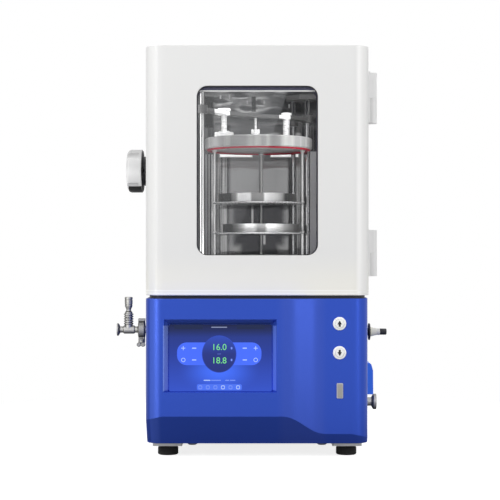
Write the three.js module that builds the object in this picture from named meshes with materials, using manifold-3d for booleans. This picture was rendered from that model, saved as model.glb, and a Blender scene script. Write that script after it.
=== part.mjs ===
// In-situ bench freeze dryer: blue base with the cold trap, white cabinet whose whole front is a windowed door,
// and an electric lift that lowers a round lid with its tray rack onto the chamber flange.
// Millimetres, +Z up, the door and screen face -Y.
import * as THREE from "three";
import { mergeVertices } from "three/addons/utils/BufferGeometryUtils.js";
import Module from "manifold-3d";

const wasm = await Module();
wasm.setup();
const { Manifold, Mesh: SolidMesh } = wasm;

// ---- driving dimensions ----
const HALF_W = 250; // half width of the base
const CAB_HALF_W = 252.5; // half width of cabinet and door
const BACK_Y = 280;
const FRONT_Y = -280; // door face and the right part of the base cover
const PROUD_Y = -311; // left part of the base cover, where the screen sits
const CORNER_R = 40;
const FLOOR_Z = 3.5;
const FOOT = { x: 204.5, y: 200, r: 23.5, z: 26 }; // z is the top of the rubber
const BASE_Z0 = 36.5;
const BASE_Z1 = 363;
const DECK_Z = BASE_Z1 - 4;
const CAB_Z0 = 370;
const CAB_Z1 = 931;
const SEAM_Y = -205; // front of the cabinet body
const DOOR_BACK_Y = -210;
const WALL = 4; // moulded cover wall
const SHEET = 2; // sheet metal
const COVER_BACK_Y = -190; // where the moulded cover meets the side panels
const STEP_X = [56, 152]; // the cover's front runs back in an S between these
const LID = [4.5, 12]; // chamber and lid axis
const LID_R = 132;
const LID_Z = 718;
const LID_TOP = 745;
const WELL_R = 117;
const WELL_OUT_R = 120;
const WELL_Z0 = 90;
const FLANGE_R = 134;
const FLANGE_Z = 385;
const COL_L = [-129.5, -138];
const COL_R = [128, 95];
const COLUMN_R = 7;
const COLUMN_Z0 = 374; // the liner's floor
const SCREW = [94, 122];
const SCREW_R = 6;
const POST_L = [-79, -55];
const POST_C = [-3, 12];
const POST_R = [74, 45];
const POST_END_Z = 811;
const RUN = 0.3; // running gap between a turning or sliding piece and its guide
const BRIDGE_Z = [797, 806];
const BRACKET_Z = [851, 863];
const SHELF_Z = [588, 514, 440];
const SHELF_R = 111;
const SHELF_T = 3;
const RACK_ROD_AT = 108; // radius of the circle of rods
const TRAY_R = 96;
const TRAY_H = 21;
const TRAY_SHIFT = [-3, 7, 0]; // how far each loose tray sits off the shelf's middle
const WIN = { x: 135.5, z0: 460, z1: 839, r: 24 };
const SKIN = 3; // door skin
const GLASS_T = 5;
const HINGE = [265.5, -207];
const LATCH = [-150, 656]; // y, z of the knob axis
const LATCH_X = -CAB_HALF_W; // the latch stands on the left side
const PIN_CIRCLE = 17.5; // radius on which the striker pin sits in the cam
const PIN_R = 2.8;
const SLOT_HALF = 4; // half width of the cam slot
const VALVE = { y: -68, z: 281, stemX: -307.5, jointX: -276 };
const NUT_Z = 255; // axis of the clamp's wing nut
const BUTTON = { x: 184, z: [307, 242] };
const SCREEN = { x0: -197, x1: 32.5, z0: 157.6, z1: 306.5, floorY: -292 };
const DRAIN = [0, -68, 276];
const PUMP_PORT = [0, 167, 81];
const FAN = { x: 165, z: 140 };
const ORIGIN = [12, 15, -FLOOR_Z]; // puts the middle on the origin and the feet on the floor

// ---- solids ----
function solidOf(geometry) {
  geometry.deleteAttribute("normal");
  geometry.deleteAttribute("uv");
  const merged = mergeVertices(geometry, 1e-4);
  return new Manifold(new SolidMesh({
    numProp: 3,
    vertProperties: new Float32Array(merged.attributes.position.array),
    triVerts: new Uint32Array(merged.index.array),
  }));
}
const union = (first, ...rest) => rest.reduce((a, b) => a.add(b), first);
const minus = (first, ...rest) => rest.reduce((a, b) => a.subtract(b), first);

// local x, y, z of a profile or prism carried to world axes, so that local z runs along the named axis
const BASIS = {
  z: new THREE.Matrix4(),
  x: new THREE.Matrix4().set(0, 0, 1, 0, 1, 0, 0, 0, 0, 1, 0, 0, 0, 0, 0, 1),
  y: new THREE.Matrix4().set(1, 0, 0, 0, 0, 0, -1, 0, 0, 1, 0, 0, 0, 0, 0, 1),
};
const CYCLE_Y = new THREE.Matrix4().set(0, 1, 0, 0, 0, 0, 1, 0, 1, 0, 0, 0, 0, 0, 0, 1);
// points are (x, y) for axis z, (y, z) for axis x and (x, z) for axis y
function prism(points, axis, from, to, holes = []) {
  const flat = (outline) => outline.map(([a, b]) => new THREE.Vector2(a, b));
  const shape = new THREE.Shape(flat(points));
  for (const hole of holes) shape.holes.push(new THREE.Path(flat(hole)));
  const geometry = new THREE.ExtrudeGeometry(shape, { depth: to - from, bevelEnabled: false, steps: 1 });
  if (axis === "y") geometry.translate(0, 0, -to);
  else geometry.translate(0, 0, from);
  geometry.applyMatrix4(BASIS[axis]);
  return solidOf(geometry);
}
function box(x0, x1, y0, y1, z0, z1) {
  const g = new THREE.BoxGeometry(x1 - x0, y1 - y0, z1 - z0);
  g.translate((x0 + x1) / 2, (y0 + y1) / 2, (z0 + z1) / 2);
  return solidOf(g);
}
const ring = (cx, cy, r, a0, a1, n) => Array.from({ length: n + 1 }, (_, i) => {
  const a = THREE.MathUtils.degToRad(a0 + ((a1 - a0) * i) / n);
  return [cx + r * Math.cos(a), cy + r * Math.sin(a)];
});
const roundRect = (x0, x1, y0, y1, r, n = 6) => [
  ...ring(x0 + r, y0 + r, r, 180, 270, n), ...ring(x1 - r, y0 + r, r, 270, 360, n),
  ...ring(x1 - r, y1 - r, r, 0, 90, n), ...ring(x0 + r, y1 - r, r, 90, 180, n),
];
// profile: closed (radius, height) outline, anticlockwise; height is the world coordinate along the axis
function turned(axis, centre, profile, segments = 16) {
  const pos = [];
  const index = [];
  const start = [];
  for (const [r, h] of profile) {
    start.push(pos.length / 3);
    for (let k = 0; k < (r === 0 ? 1 : segments); k++) {
      const turn = (2 * Math.PI * k) / segments;
      pos.push(r * Math.cos(turn), r * Math.sin(turn), h);
    }
  }
  const at = (i, k) => start[i] + (profile[i][0] === 0 ? 0 : k % segments);
  profile.forEach((p, i) => {
    const j = (i + 1) % profile.length;
    for (let k = 0; k < segments; k++) {
      const [a, b, c, d] = [at(i, k), at(j, k), at(j, k + 1), at(i, k + 1)];
      if (a !== d) index.push(a, d, b);
      if (b !== c) index.push(b, d, c);
    }
  });
  const g = new THREE.BufferGeometry();
  g.setAttribute("position", new THREE.Float32BufferAttribute(pos, 3));
  g.setIndex(index);
  // local z onto the axis by a cyclic turn, which keeps the outline's sense
  const [x, y, z] = centre;
  if (axis === "x") g.applyMatrix4(BASIS.x).translate(0, y, z);
  else if (axis === "y") g.applyMatrix4(CYCLE_Y).translate(x, 0, z);
  else g.translate(x, y, 0);
  return solidOf(g);
}
const rod = (axis, centre, r, from, to, segments = 12) =>
  turned(axis, centre, [[0, from], [r, from], [r, to], [0, to]], segments);

const group = new THREE.Group();
group.name = "freeze_dryer";
const LOOK = {
  blue: [0x3655bf, 0.35, 0],
  white: [0xe4e4e4, 0.35, 0],
  steel: [0xb8bcc0, 0.25, 0.9],
  grey: [0xc9cbcc, 0.5, 0.1],
  dark: [0x1b1d22, 0.6, 0],
  rubber: [0x141414, 0.8, 0],
  red: [0xb5262c, 0.5, 0],
  frost: [0xd9dcdd, 0.4, 0],
  glass: [0xcfd8dc, 0.1, 0],
  screen: [0x2a4bd0, 0.2, 0],
  aluminium: [0xa9adb0, 0.4, 0.8],
};
function add(name, solid, look) {
  const out = solid.getMesh();
  const g = new THREE.BufferGeometry();
  g.setAttribute("position", new THREE.BufferAttribute(new Float32Array(out.vertProperties), 3));
  g.setIndex(new THREE.BufferAttribute(new Uint32Array(out.triVerts), 1));
  g.translate(...ORIGIN);
  const flat = g.toNonIndexed();
  flat.computeVertexNormals();
  const [color, roughness, metalness] = LOOK[look];
  const mesh = new THREE.Mesh(flat, new THREE.MeshStandardMaterial({ color, roughness, metalness }));
  mesh.name = name;
  group.add(mesh);
}

// ---- base cover: a proud left part, an S step and a bottom bevel that follows the front round ----
const STEP_PARTS = 10;
function coverPlan(inset) {
  const s = [];
  for (let i = 0; i <= STEP_PARTS; i++) {
    const t = i / STEP_PARTS;
    const x = STEP_X[0] + (STEP_X[1] - STEP_X[0]) * t;
    s.push([x, PROUD_Y + inset + ((FRONT_Y - PROUD_Y) * (1 - Math.cos(Math.PI * t))) / 2]);
  }
  const r = CORNER_R - inset;
  const cx = HALF_W - CORNER_R;
  return [
    [-HALF_W + inset, COVER_BACK_Y],
    ...ring(-cx, PROUD_Y + CORNER_R, r, 180, 270, 8),
    ...s,
    ...ring(cx, FRONT_Y + CORNER_R, r, 270, 360, 8),
    [HALF_W - inset, COVER_BACK_Y],
  ];
}
// the bevel's surface starts at BEVEL_Y at the bottom edge and leans forward by BEVEL_RUN per mm up
const BEVEL_Y = -263;
const BEVEL_RUN = 0.724;
const BEVEL_CORNER_R = 31;
function bevelBlock(inset) {
  const r = BEVEL_CORNER_R - inset;
  const front = BEVEL_Y + inset * Math.hypot(1, BEVEL_RUN);
  const cx = HALF_W - BEVEL_CORNER_R;
  const plan = [
    [-HALF_W + inset - 0.01, 400],
    ...ring(-cx, front + r, r + 0.01, 180, 270, 8),
    ...ring(cx, front + r, r + 0.01, 270, 360, 8),
    [HALF_W - inset + 0.01, 400],
  ];
  const shape = new THREE.Shape(plan.map(([x, y]) => new THREE.Vector2(x, y)));
  const height = BASE_Z1 + 10;
  const g = new THREE.ExtrudeGeometry(shape, { depth: height, bevelEnabled: false, steps: 1 });
  const lean = new THREE.Matrix4();
  lean.set(1, 0, 0, 0, 0, 1, -BEVEL_RUN, BEVEL_RUN * BASE_Z0, 0, 0, 1, 0, 0, 0, 0, 1);
  g.applyMatrix4(lean);
  return solidOf(g);
}
const backOpen = (inset) => coverPlan(inset).map(([x, y]) => [x, y === COVER_BACK_Y ? y + 2 : y]);
// screen pocket with sloping cheeks, as a prismatoid from its mouth to its floor
const CHEEK_RUN = [10, 0.7, 11, 11.5]; // left, bottom, right and top, over the depth of the pocket
const POCKET_DEPTH = 19;
function pocket(yMouth) {
  const t = (SCREEN.floorY - yMouth) / POCKET_DEPTH;
  const floor = [SCREEN.x0, SCREEN.z0 - 0.6, SCREEN.x1, SCREEN.z1];
  const mouth = floor.map((v, i) => v + (i < 2 ? -1 : 1) * CHEEK_RUN[i] * t);
  const corners = [];
  for (const [y, [x0, z0, x1, z1]] of [[yMouth, mouth], [SCREEN.floorY, floor]]) {
    corners.push([x0, y, z0], [x1, y, z0], [x1, y, z1], [x0, y, z1]);
  }
  const g = new THREE.BufferGeometry();
  g.setAttribute("position", new THREE.Float32BufferAttribute(corners.flat(), 3));
  g.setIndex([
    0, 1, 2, 0, 2, 3, 4, 6, 5, 4, 7, 6, 0, 4, 5, 0, 5, 1,
    1, 5, 6, 1, 6, 2, 2, 6, 7, 2, 7, 3, 3, 7, 4, 3, 4, 0,
  ]);
  return solidOf(g);
}
const coverVoid = minus(
  prism(backOpen(WALL), "z", 0, BASE_Z1 - WALL).intersect(bevelBlock(WALL)),
  box(SCREEN.x0 - 17, SCREEN.x1 + 20, PROUD_Y - 5, SCREEN.floorY + WALL, SCREEN.z0 - 10, SCREEN.z1 + 23),
);
add("base_front_cover", minus(
  prism(coverPlan(0), "z", BASE_Z0, BASE_Z1).intersect(bevelBlock(0)),
  coverVoid,
  box(-230, 230, -245, COVER_BACK_Y + 1, 340, BASE_Z1 + 2),
  pocket(-321),
  ...BUTTON.z.map((z) => rod("y", [BUTTON.x, 0, z], 11.5, -290, -270, 16)),
), "blue");

// ---- side panels, back, floor and deck ----
function sidePanel(side) {
  const slab = (x0, x1, y1, z0, z1) =>
    box(Math.min(side * x0, side * x1), Math.max(side * x0, side * x1), COVER_BACK_Y, y1, z0, z1);
  return union(
    slab(HALF_W - SHEET, HALF_W, BACK_Y, BASE_Z0, BASE_Z1),
    slab(HALF_W - 16, HALF_W - SHEET, BACK_Y - SHEET, DECK_Z - SHEET, DECK_Z),
    slab(HALF_W - 16, HALF_W - SHEET, BACK_Y - SHEET, BASE_Z0 + SHEET, BASE_Z0 + 2 * SHEET),
  );
}
const SLOT_ZS = [150, 162, 174]; // air slots under the side hood
add("base_side_left", minus(sidePanel(-1), rod("x", [0, VALVE.y, VALVE.z], 9.3, -260, -240, 16)), "blue");
add("base_side_right", minus(
  sidePanel(1),
  rod("x", PUMP_PORT, 11.3, 240, 260, 16),
  ...SLOT_ZS.map((z) => box(240, 260, -100, -36, z, z + 5)),
), "blue");
const GRILLE_R = 52;
const grille = [];
for (let i = -4; i <= 4; i++) {
  const half = Math.sqrt(GRILLE_R ** 2 - (i * 11) ** 2);
  grille.push(box(FAN.x - half, FAN.x + half, 270, 290, FAN.z + i * 11 - 3.5, FAN.z + i * 11 + 3.5));
}
for (let i = 0; i < 8; i++) grille.push(box(-205, -95, 270, 290, 190 + i * 14, 195 + i * 14));
add("base_back_panel", minus(
  box(-248, 248, BACK_Y - SHEET, BACK_Y, BASE_Z0, BASE_Z1),
  ...grille,
  box(-173.2, -126.8, 270, 290, 77.8, 102.2),
), "blue");
const PAD_HALF = 33.5;
const corners = [["front_left", -1, -1], ["front_right", 1, -1], ["back_left", -1, 1], ["back_right", 1, 1]];
const footPad = (x, y) =>
  prism(roundRect(x - PAD_HALF, x + PAD_HALF, y - PAD_HALF, y + PAD_HALF, 4, 3), "z", FOOT.z, BASE_Z0 + 1);
const PAN_OUTLINE = [
  [-248, 278], [-248, -189.7], [-245.7, -189.7], [-245.7, -230], [-226, -253],
  [226, -253], [245.7, -230], [245.7, -189.7], [248, -189.7], [248, 278],
];
add("base_floor_pan", union(
  prism(PAN_OUTLINE, "z", BASE_Z0, BASE_Z0 + SHEET),
  ...corners.map(([, sx, sy]) => footPad(sx * FOOT.x, sy * FOOT.y)),
  rod("z", [-148, -215, 0], 10, BASE_Z0 - 5, BASE_Z0 + 1, 10),
  rod("z", [148, -215, 0], 10, BASE_Z0 - 5, BASE_Z0 + 1, 10),
), "grey");
for (const [tag, sx, sy] of corners) {
  const top = FOOT.z;
  add(`foot_${tag}`, turned("z", [sx * FOOT.x, sy * FOOT.y, 0], [
    [0, FLOOR_Z], [21.5, FLOOR_Z], [FOOT.r, FLOOR_Z + 2], [FOOT.r, top - 5], [19, top - 2], [19, top], [0, top],
  ], 14), "rubber");
}
const wellHole = (z0, z1) => rod("z", LID, WELL_OUT_R + 0.4, z0, z1, 28);
const screwHole = (z0, z1) => rod("z", SCREW, SCREW_R + 2, z0, z1);
const DECK_OUTLINE = [
  [-247.8, 277.8], [-247.8, -189.8], [-229.8, -189.8], [-229.8, -244.8],
  [229.8, -244.8], [229.8, -189.8], [247.8, -189.8], [247.8, 277.8],
];
add("top_deck", minus(
  union(
    prism(DECK_OUTLINE, "z", DECK_Z, BASE_Z1),
    prism(roundRect(-244, 244, -272, 270, 34), "z", BASE_Z1, CAB_Z0 - 1),
    box(-233, 233, -204, 248, CAB_Z0 - 2, CAB_Z0),
  ),
  wellHole(340, 380),
  screwHole(340, 380),
), "dark");

// ---- cold trap and the hidden machinery ----
add("chamber_well", turned("z", LID, [
  [0, WELL_Z0], [100, WELL_Z0], [WELL_OUT_R, WELL_Z0 + 16], [WELL_OUT_R, COLUMN_Z0], [FLANGE_R, COLUMN_Z0],
  [FLANGE_R, FLANGE_Z - 1.5], [FLANGE_R - 1.5, FLANGE_Z], [WELL_R, FLANGE_Z], [WELL_R, WELL_Z0 + 18],
  [99, WELL_Z0 + 5], [0, WELL_Z0 + 5],
], 28), "steel");
const PAN_TOP = BASE_Z0 + SHEET;
add("compressor", turned("z", [-170, 140], [
  [0, PAN_TOP], [60, PAN_TOP], [60, 45], [50, 48], [50, 54], [56, 60],
  [58, 88], [58, 166], [51, 192], [28, 206], [0, 209],
], 20), "dark");
const fins = [];
for (let i = 0; i < 13; i++) fins.push(box(106 + i * 9.3, 110 + i * 9.3, 200, 214, 72, 208));
add("condenser", minus(
  union(
    box(100, 230, 205, 240, 65, 215),
    box(100, 112, 205, 240, PAN_TOP, 66),
    box(218, 230, 205, 240, PAN_TOP, 66),
    rod("y", [FAN.x, 0, FAN.z], 15, 239, 247.5),
    turned("y", [FAN.x, 0, FAN.z], [[58, 239.5], [61, 239.5], [61, 264], [58, 264]], 20),
  ),
  ...fins,
), "aluminium");
const BLADE_PITCH = 32;
const blades = [];
for (let k = 0; k < 5; k++) {
  const g = new THREE.BoxGeometry(20, 1.8, 38);
  g.rotateZ(THREE.MathUtils.degToRad(BLADE_PITCH));
  g.translate(0, 256, 33);
  g.rotateY((2 * Math.PI * k) / 5);
  g.translate(FAN.x, 0, FAN.z);
  blades.push(solidOf(g));
}
add("fan_rotor", union(rod("y", [FAN.x, 0, FAN.z], 17, 248, 264), ...blades), "dark");
const [sx, sy] = SCREW;
add("lift_motor", union(
  rod("z", SCREW, 21, DECK_Z - 107, DECK_Z - 12, 14),
  prism(roundRect(sx - 18, sx + 22, sy - 12, sy + 26, 4, 2), "z", DECK_Z - 12, DECK_Z),
), "dark");

// ---- lift: screw, guide columns with wall brackets, bridge, posts, lid ----
add("lift_screw", union(
  rod("z", SCREW, SCREW_R, DECK_Z + RUN, BRACKET_Z[1] - 3),
  rod("z", SCREW, SCREW_R + 1, COLUMN_Z0 + RUN, 386),
), "steel");
const column = ([x, y]) => union(
  rod("z", [x, y], COLUMN_R, COLUMN_Z0, BRACKET_Z[0] + 1, 14),
  rod("z", [x, y], 12, COLUMN_Z0, COLUMN_Z0 + 6, 14),
);
add("guide_column_left", union(
  column(COL_L),
  box(-213, COL_L[0] + 14, COL_L[1] - 14, COL_L[1] + 14, ...BRACKET_Z),
), "steel");
const [rx, ry] = COL_R;
add("guide_column_right", minus(
  union(
    column(COL_R),
    prism([
      [rx - 20, ry - 15], [213, ry - 15], [213, ry + 15], [rx + 24, ry + 17],
      [sx + 22, sy + 16], [sx - 18, sy + 16], [sx - 18, sy - 16],
    ], "z", ...BRACKET_Z),
  ),
  rod("z", SCREW, SCREW_R + RUN, BRACKET_Z[0] - 5, BRACKET_Z[1] + 5),
), "steel");
function bar(p, q, width = 22) {
  const turn = THREE.MathUtils.radToDeg(Math.atan2(q[1] - p[1], q[0] - p[0]));
  return prism([
    ...ring(p[0], p[1], width / 2, turn + 90, turn + 270, 5),
    ...ring(q[0], q[1], width / 2, turn - 90, turn + 90, 5),
  ], "z", ...BRIDGE_Z);
}
add("lift_bridge", minus(
  union(
    bar(COL_L, POST_L),
    bar(POST_L, POST_C),
    bar(POST_C, POST_R),
    bar(POST_R, COL_R),
    bar(COL_R, SCREW, 20),
    rod("z", COL_L, 13.5, 792, 812, 14),
    rod("z", COL_R, 13.5, 792, 812, 14),
    rod("z", SCREW, 13, 786, 812, 14),
  ),
  rod("z", COL_L, COLUMN_R + RUN, 780, 820, 16),
  rod("z", COL_R, COLUMN_R + RUN, 780, 820, 16),
  rod("z", SCREW, SCREW_R + RUN, 780, 820),
  rod("z", POST_L, 5, 780, 820),
  rod("z", POST_R, 5, 780, 820),
), "steel");
const LID_EDGE = 3; // chamfer on both edges of the lid
const GROOVE = [120, 127];
add("lid_plate", minus(
  turned("z", LID, [
    [0, LID_Z], [LID_R - LID_EDGE, LID_Z], [LID_R, LID_Z + LID_EDGE],
    [LID_R, LID_TOP - LID_EDGE], [LID_R - LID_EDGE, LID_TOP], [0, LID_TOP],
  ], 28),
  turned("z", LID, [
    [GROOVE[0], LID_Z - 5], [GROOVE[1], LID_Z - 5], [GROOVE[1], LID_Z + 3], [GROOVE[0], LID_Z + 3],
  ], 28),
), "frost");
add("lid_seal", turned("z", LID, [
  [121.5, LID_Z - 4], [125.5, LID_Z - 4], [126.7, LID_Z - 2],
  [126.7, LID_Z + 3], [120.3, LID_Z + 3], [120.3, LID_Z - 2],
], 28), "red");
add("left_post", turned("z", POST_L, [
  [0, LID_TOP], [22, LID_TOP], [23, LID_TOP + 2], [23, LID_TOP + 6], [16, LID_TOP + 10], [7, LID_TOP + 12],
  [7, BRIDGE_Z[0]], [4.7, BRIDGE_Z[0]], [4.7, POST_END_Z], [0, POST_END_Z],
], 14), "steel");
const [px, py] = POST_C;
add("centre_post", union(
  turned("z", POST_C, [
    [0, LID_TOP], [12, LID_TOP], [12, LID_TOP + 4], [6, LID_TOP + 7], [6, LID_TOP + 24],
    [3, LID_TOP + 28], [3, BRIDGE_Z[0]], [0, BRIDGE_Z[0]],
  ], 12),
  box(px - 10.5, px + 10.5, py - 2.5, py + 2.5, LID_TOP + 10, LID_TOP + 24),
), "steel");
add("right_post", turned("z", POST_R, [
  [0, LID_TOP], [14, LID_TOP], [14, LID_TOP + 4], [8.5, LID_TOP + 7], [8.5, BRIDGE_Z[0]],
  [4.7, BRIDGE_Z[0]], [4.7, POST_END_Z], [0, POST_END_Z],
], 14), "steel");
const postKnob = (p, r) => turned("z", p, [
  [5, BRIDGE_Z[1]], [r - 2, BRIDGE_Z[1]], [r, BRIDGE_Z[1] + 2], [r, BRIDGE_Z[1] + 6], [r - 3, BRIDGE_Z[1] + 9],
  [0, BRIDGE_Z[1] + 9], [0, POST_END_Z + RUN], [5, POST_END_Z + RUN],
], 14);
add("left_post_knob", postKnob(POST_L, 16), "steel");
add("right_post_knob", postKnob(POST_R, 13), "steel");

// ---- tray rack: three shelves on three rods, open towards the door ----
const RACK_RODS = [0, 86, 180].map((turn) => ring(LID[0], LID[1], RACK_ROD_AT, turn, turn, 1)[0]);
add("tray_rack", union(
  ...SHELF_Z.map((z) => rod("z", LID, SHELF_R, z - SHELF_T, z, 24)),
  ...RACK_RODS.map((p) => rod("z", p, 3, SHELF_Z[2] - SHELF_T, LID_Z, 7)),
  ...RACK_RODS.map((p) => rod("z", p, 6, LID_Z - 6, LID_Z, 9)),
), "steel");
["upper", "middle", "lower"].forEach((tag, i) => {
  const z = SHELF_Z[i];
  const rim = z + TRAY_H;
  add(`tray_${tag}`, turned("z", [LID[0] + TRAY_SHIFT[i], LID[1]], [
    [0, z], [TRAY_R - 3, z], [TRAY_R - 1.5, z + 2], [TRAY_R - 1, rim - 1.5], [TRAY_R, rim - 1.5], [TRAY_R, rim],
    [TRAY_R - 2.4, rim], [TRAY_R - 2.8, z + 2.4], [TRAY_R - 3.6, z + 1.4], [0, z + 1.4],
  ], 22), "steel");
});

// ---- cabinet ----
add("cabinet_shell", minus(
  box(-CAB_HALF_W, CAB_HALF_W, SEAM_Y, BACK_Y, CAB_Z0, CAB_Z1),
  box(-CAB_HALF_W + SHEET, CAB_HALF_W - SHEET, SEAM_Y - 1, BACK_Y - SHEET, CAB_Z0 + SHEET, CAB_Z1 - SHEET),
  wellHole(360, 380),
  screwHole(360, 380),
), "white");
const LINER = { x: 215, z0: 372, z1: 905, back: 245 };
add("cabinet_liner", minus(
  union(
    box(-LINER.x, LINER.x, SEAM_Y + 1, LINER.back, LINER.z0, LINER.z1),
    box(-CAB_HALF_W + SHEET, CAB_HALF_W - SHEET, SEAM_Y, SEAM_Y + SHEET, LINER.z0, CAB_Z1 - SHEET),
  ),
  box(-LINER.x + SHEET, LINER.x - SHEET, SEAM_Y - 2, LINER.back - SHEET, LINER.z0 + SHEET, LINER.z1 - SHEET),
  wellHole(360, 380),
  screwHole(360, 380),
), "steel");

// ---- door ----
function doorPlan(inset, back) {
  const r = CORNER_R - inset;
  const cx = CAB_HALF_W - CORNER_R;
  return [
    [-CAB_HALF_W + inset, back],
    ...ring(-cx, FRONT_Y + CORNER_R, r, 180, 270, 8),
    ...ring(cx, FRONT_Y + CORNER_R, r, 270, 360, 8),
    [CAB_HALF_W - inset, back],
  ];
}
const windowOutline = (grow) =>
  roundRect(-WIN.x - grow, WIN.x + grow, WIN.z0 - grow, WIN.z1 + grow, WIN.r + grow);
const GLASS_Y = FRONT_Y + SKIN;
const GLASS_BACK = GLASS_Y + GLASS_T;
add("door_shell", minus(
  prism(doorPlan(0, DOOR_BACK_Y), "z", CAB_Z0, CAB_Z1),
  prism(doorPlan(SKIN, DOOR_BACK_Y + 1), "z", CAB_Z0 + SKIN, CAB_Z1 - SKIN),
  prism(windowOutline(0), "y", FRONT_Y - 5, FRONT_Y + 8),
), "white");
add("window_glass", prism(windowOutline(12), "y", GLASS_Y, GLASS_BACK), "glass");
const DOOR_IN = CAB_HALF_W - SKIN;
add("door_liner", minus(
  union(
    box(-DOOR_IN, DOOR_IN, DOOR_BACK_Y - 3, DOOR_BACK_Y, CAB_Z0 + SKIN, CAB_Z1 - SKIN),
    prism(windowOutline(5), "y", GLASS_BACK, DOOR_BACK_Y - 1),
  ),
  prism(windowOutline(0), "y", GLASS_BACK - 2, DOOR_BACK_Y + 2),
), "dark");
add("door_gasket", prism(
  roundRect(-232, 232, 379, 921, 16), "y", DOOR_BACK_Y, SEAM_Y - RUN, [roundRect(-220, 220, 391, 909, 8)],
), "rubber");

// ---- hinges on the right, body leaf with the pin below, door leaf above ----
const HINGE_R = 9;
const HINGE_PIN_R = 3;
for (const [tag, z0, z1] of [["upper", 761, 877], ["lower", 412, 517.5]]) {
  const mid = (z0 + z1) / 2;
  const [hx, hy] = HINGE;
  add(`hinge_${tag}_body`, union(
    box(CAB_HALF_W, CAB_HALF_W + 4, -203, -165, z0, z1),
    box(CAB_HALF_W + 3, hx - 1, -204, -198.5, z0, mid),
    rod("z", [hx, hy], HINGE_R, z0, mid, 14),
    rod("z", [hx, hy], HINGE_PIN_R, mid - 1, z1 - 3, 10),
  ), "grey");
  add(`hinge_${tag}_door`, minus(
    union(
      box(CAB_HALF_W, CAB_HALF_W + 4, -238, -211, z0, z1),
      box(CAB_HALF_W + 3, hx - 1, -215.5, -211, mid + RUN, z1),
      rod("z", [hx, hy], HINGE_R, mid + RUN, z1, 14),
    ),
    rod("z", [hx, hy], HINGE_PIN_R + RUN, mid - 5, z1 - 2.5, 10),
  ), "grey");
}

// ---- latch on the left: spindle, slotted cam and knob on the cabinet, striker pin on the door ----
const [ly, lz] = LATCH;
const AXLE_R = 4;
const CAM = { r: 34, x0: LATCH_X - 13, x1: LATCH_X - 6 };
const KNOB_R = 50;
const KNOB_X = LATCH_X - 51; // outer face of the knob
add("latch_spindle", union(
  rod("x", [0, ly, lz], AXLE_R, LATCH_X - 35, LATCH_X - 4),
  rod("x", [0, ly, lz], 11, LATCH_X - 5.7, LATCH_X, 14),
), "steel");
add("latch_cam", minus(
  rod("x", [0, ly, lz], CAM.r, CAM.x0, CAM.x1, 24),
  box(CAM.x0 - 7, CAM.x1 + 6, ly - 40, ly - PIN_CIRCLE + SLOT_HALF, lz - SLOT_HALF, lz + SLOT_HALF),
  prism([
    ...ring(ly, lz, PIN_CIRCLE + SLOT_HALF, 78, 184, 16),
    ...ring(ly, lz, PIN_CIRCLE - SLOT_HALF, 184, 78, 16),
  ], "x", CAM.x0 - 7, CAM.x1 + 6),
  rod("x", [0, ly, lz], AXLE_R + RUN, CAM.x0 - 7, CAM.x1 + 6),
), "dark");
const SCALLOP = { count: 4, first: 50, at: 61, r: 17 };
add("latch_knob", minus(
  turned("x", [0, ly, lz], [
    [0, KNOB_X], [30, KNOB_X + 0.6], [KNOB_R - 7, KNOB_X + 2.5], [KNOB_R - 2, KNOB_X + 6], [KNOB_R, KNOB_X + 11],
    [KNOB_R, CAM.x0 - 6], [KNOB_R - 2, CAM.x0 - 4], [CAM.r - 2, CAM.x0 - 3], [CAM.r - 3, CAM.x0],
    [AXLE_R + RUN, CAM.x0], [AXLE_R + RUN, LATCH_X - 35 - RUN], [0, LATCH_X - 35 - RUN],
  ], 24),
  ...Array.from({ length: SCALLOP.count }, (_, k) => {
    const turn = (360 / SCALLOP.count) * k + SCALLOP.first;
    const [[cy, cz]] = ring(ly, lz, SCALLOP.at, turn, turn, 1);
    return rod("x", [0, cy, cz], SCALLOP.r, KNOB_X - 9, CAM.x0 - 8, 14);
  }),
), "grey");
add("latch_striker", union(
  box(LATCH_X - 3.4, LATCH_X, -238, -213, lz - 10, lz + 10),
  box(LATCH_X - 3.4, LATCH_X - 0.4, -214, ly - PIN_CIRCLE + 4, lz - 8, lz + 8),
  rod("x", [0, ly - PIN_CIRCLE, lz], PIN_R, LATCH_X - 11, LATCH_X - 3, 12),
), "steel");

// ---- front controls ----
const PANEL_Y = -297; // front of the touch panel
add("display", union(
  prism(roundRect(SCREEN.x0 + 0.6, SCREEN.x1 - 0.6, SCREEN.z0, SCREEN.z1 - 0.6, 3, 3), "y", PANEL_Y, SCREEN.floorY),
  prism(roundRect(SCREEN.x0 + 7, SCREEN.x1 - 7, SCREEN.z0 + 7, SCREEN.z1 - 7, 2, 3), "y", PANEL_Y - 0.6, PANEL_Y + 1),
), "screen");
BUTTON.z.forEach((z, i) => {
  const tag = ["up", "down"][i];
  add(`${tag}_bezel`, turned("y", [BUTTON.x, 0, z], [
    [10, -282.6], [14, -282.6], [15, -281.6], [15, -280], [11.2, -280],
    [11.2, -262], [0, -262], [0, -266], [10, -266],
  ], 18), "white");
  add(`${tag}_button`, turned("y", [BUTTON.x, 0, z], [
    [0, -284.2], [8.7, -284.2], [9.7, -283.4], [9.7, -270], [0, -270],
  ], 16), "white");
});
const PORT = { x0: 177.5, x1: 191.8, z0: 140, z1: 174 };
add("port_cover", union(
  prism(roundRect(PORT.x0, PORT.x1, PORT.z0, PORT.z1, 2, 3), "y", -282, FRONT_Y),
  prism(roundRect(PORT.x0 + 2.3, PORT.x1 - 2.3, PORT.z0 + 2.4, PORT.z1 - 2.4, 1.5, 3), "y", -283.2, -281.5),
), "grey");

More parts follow.
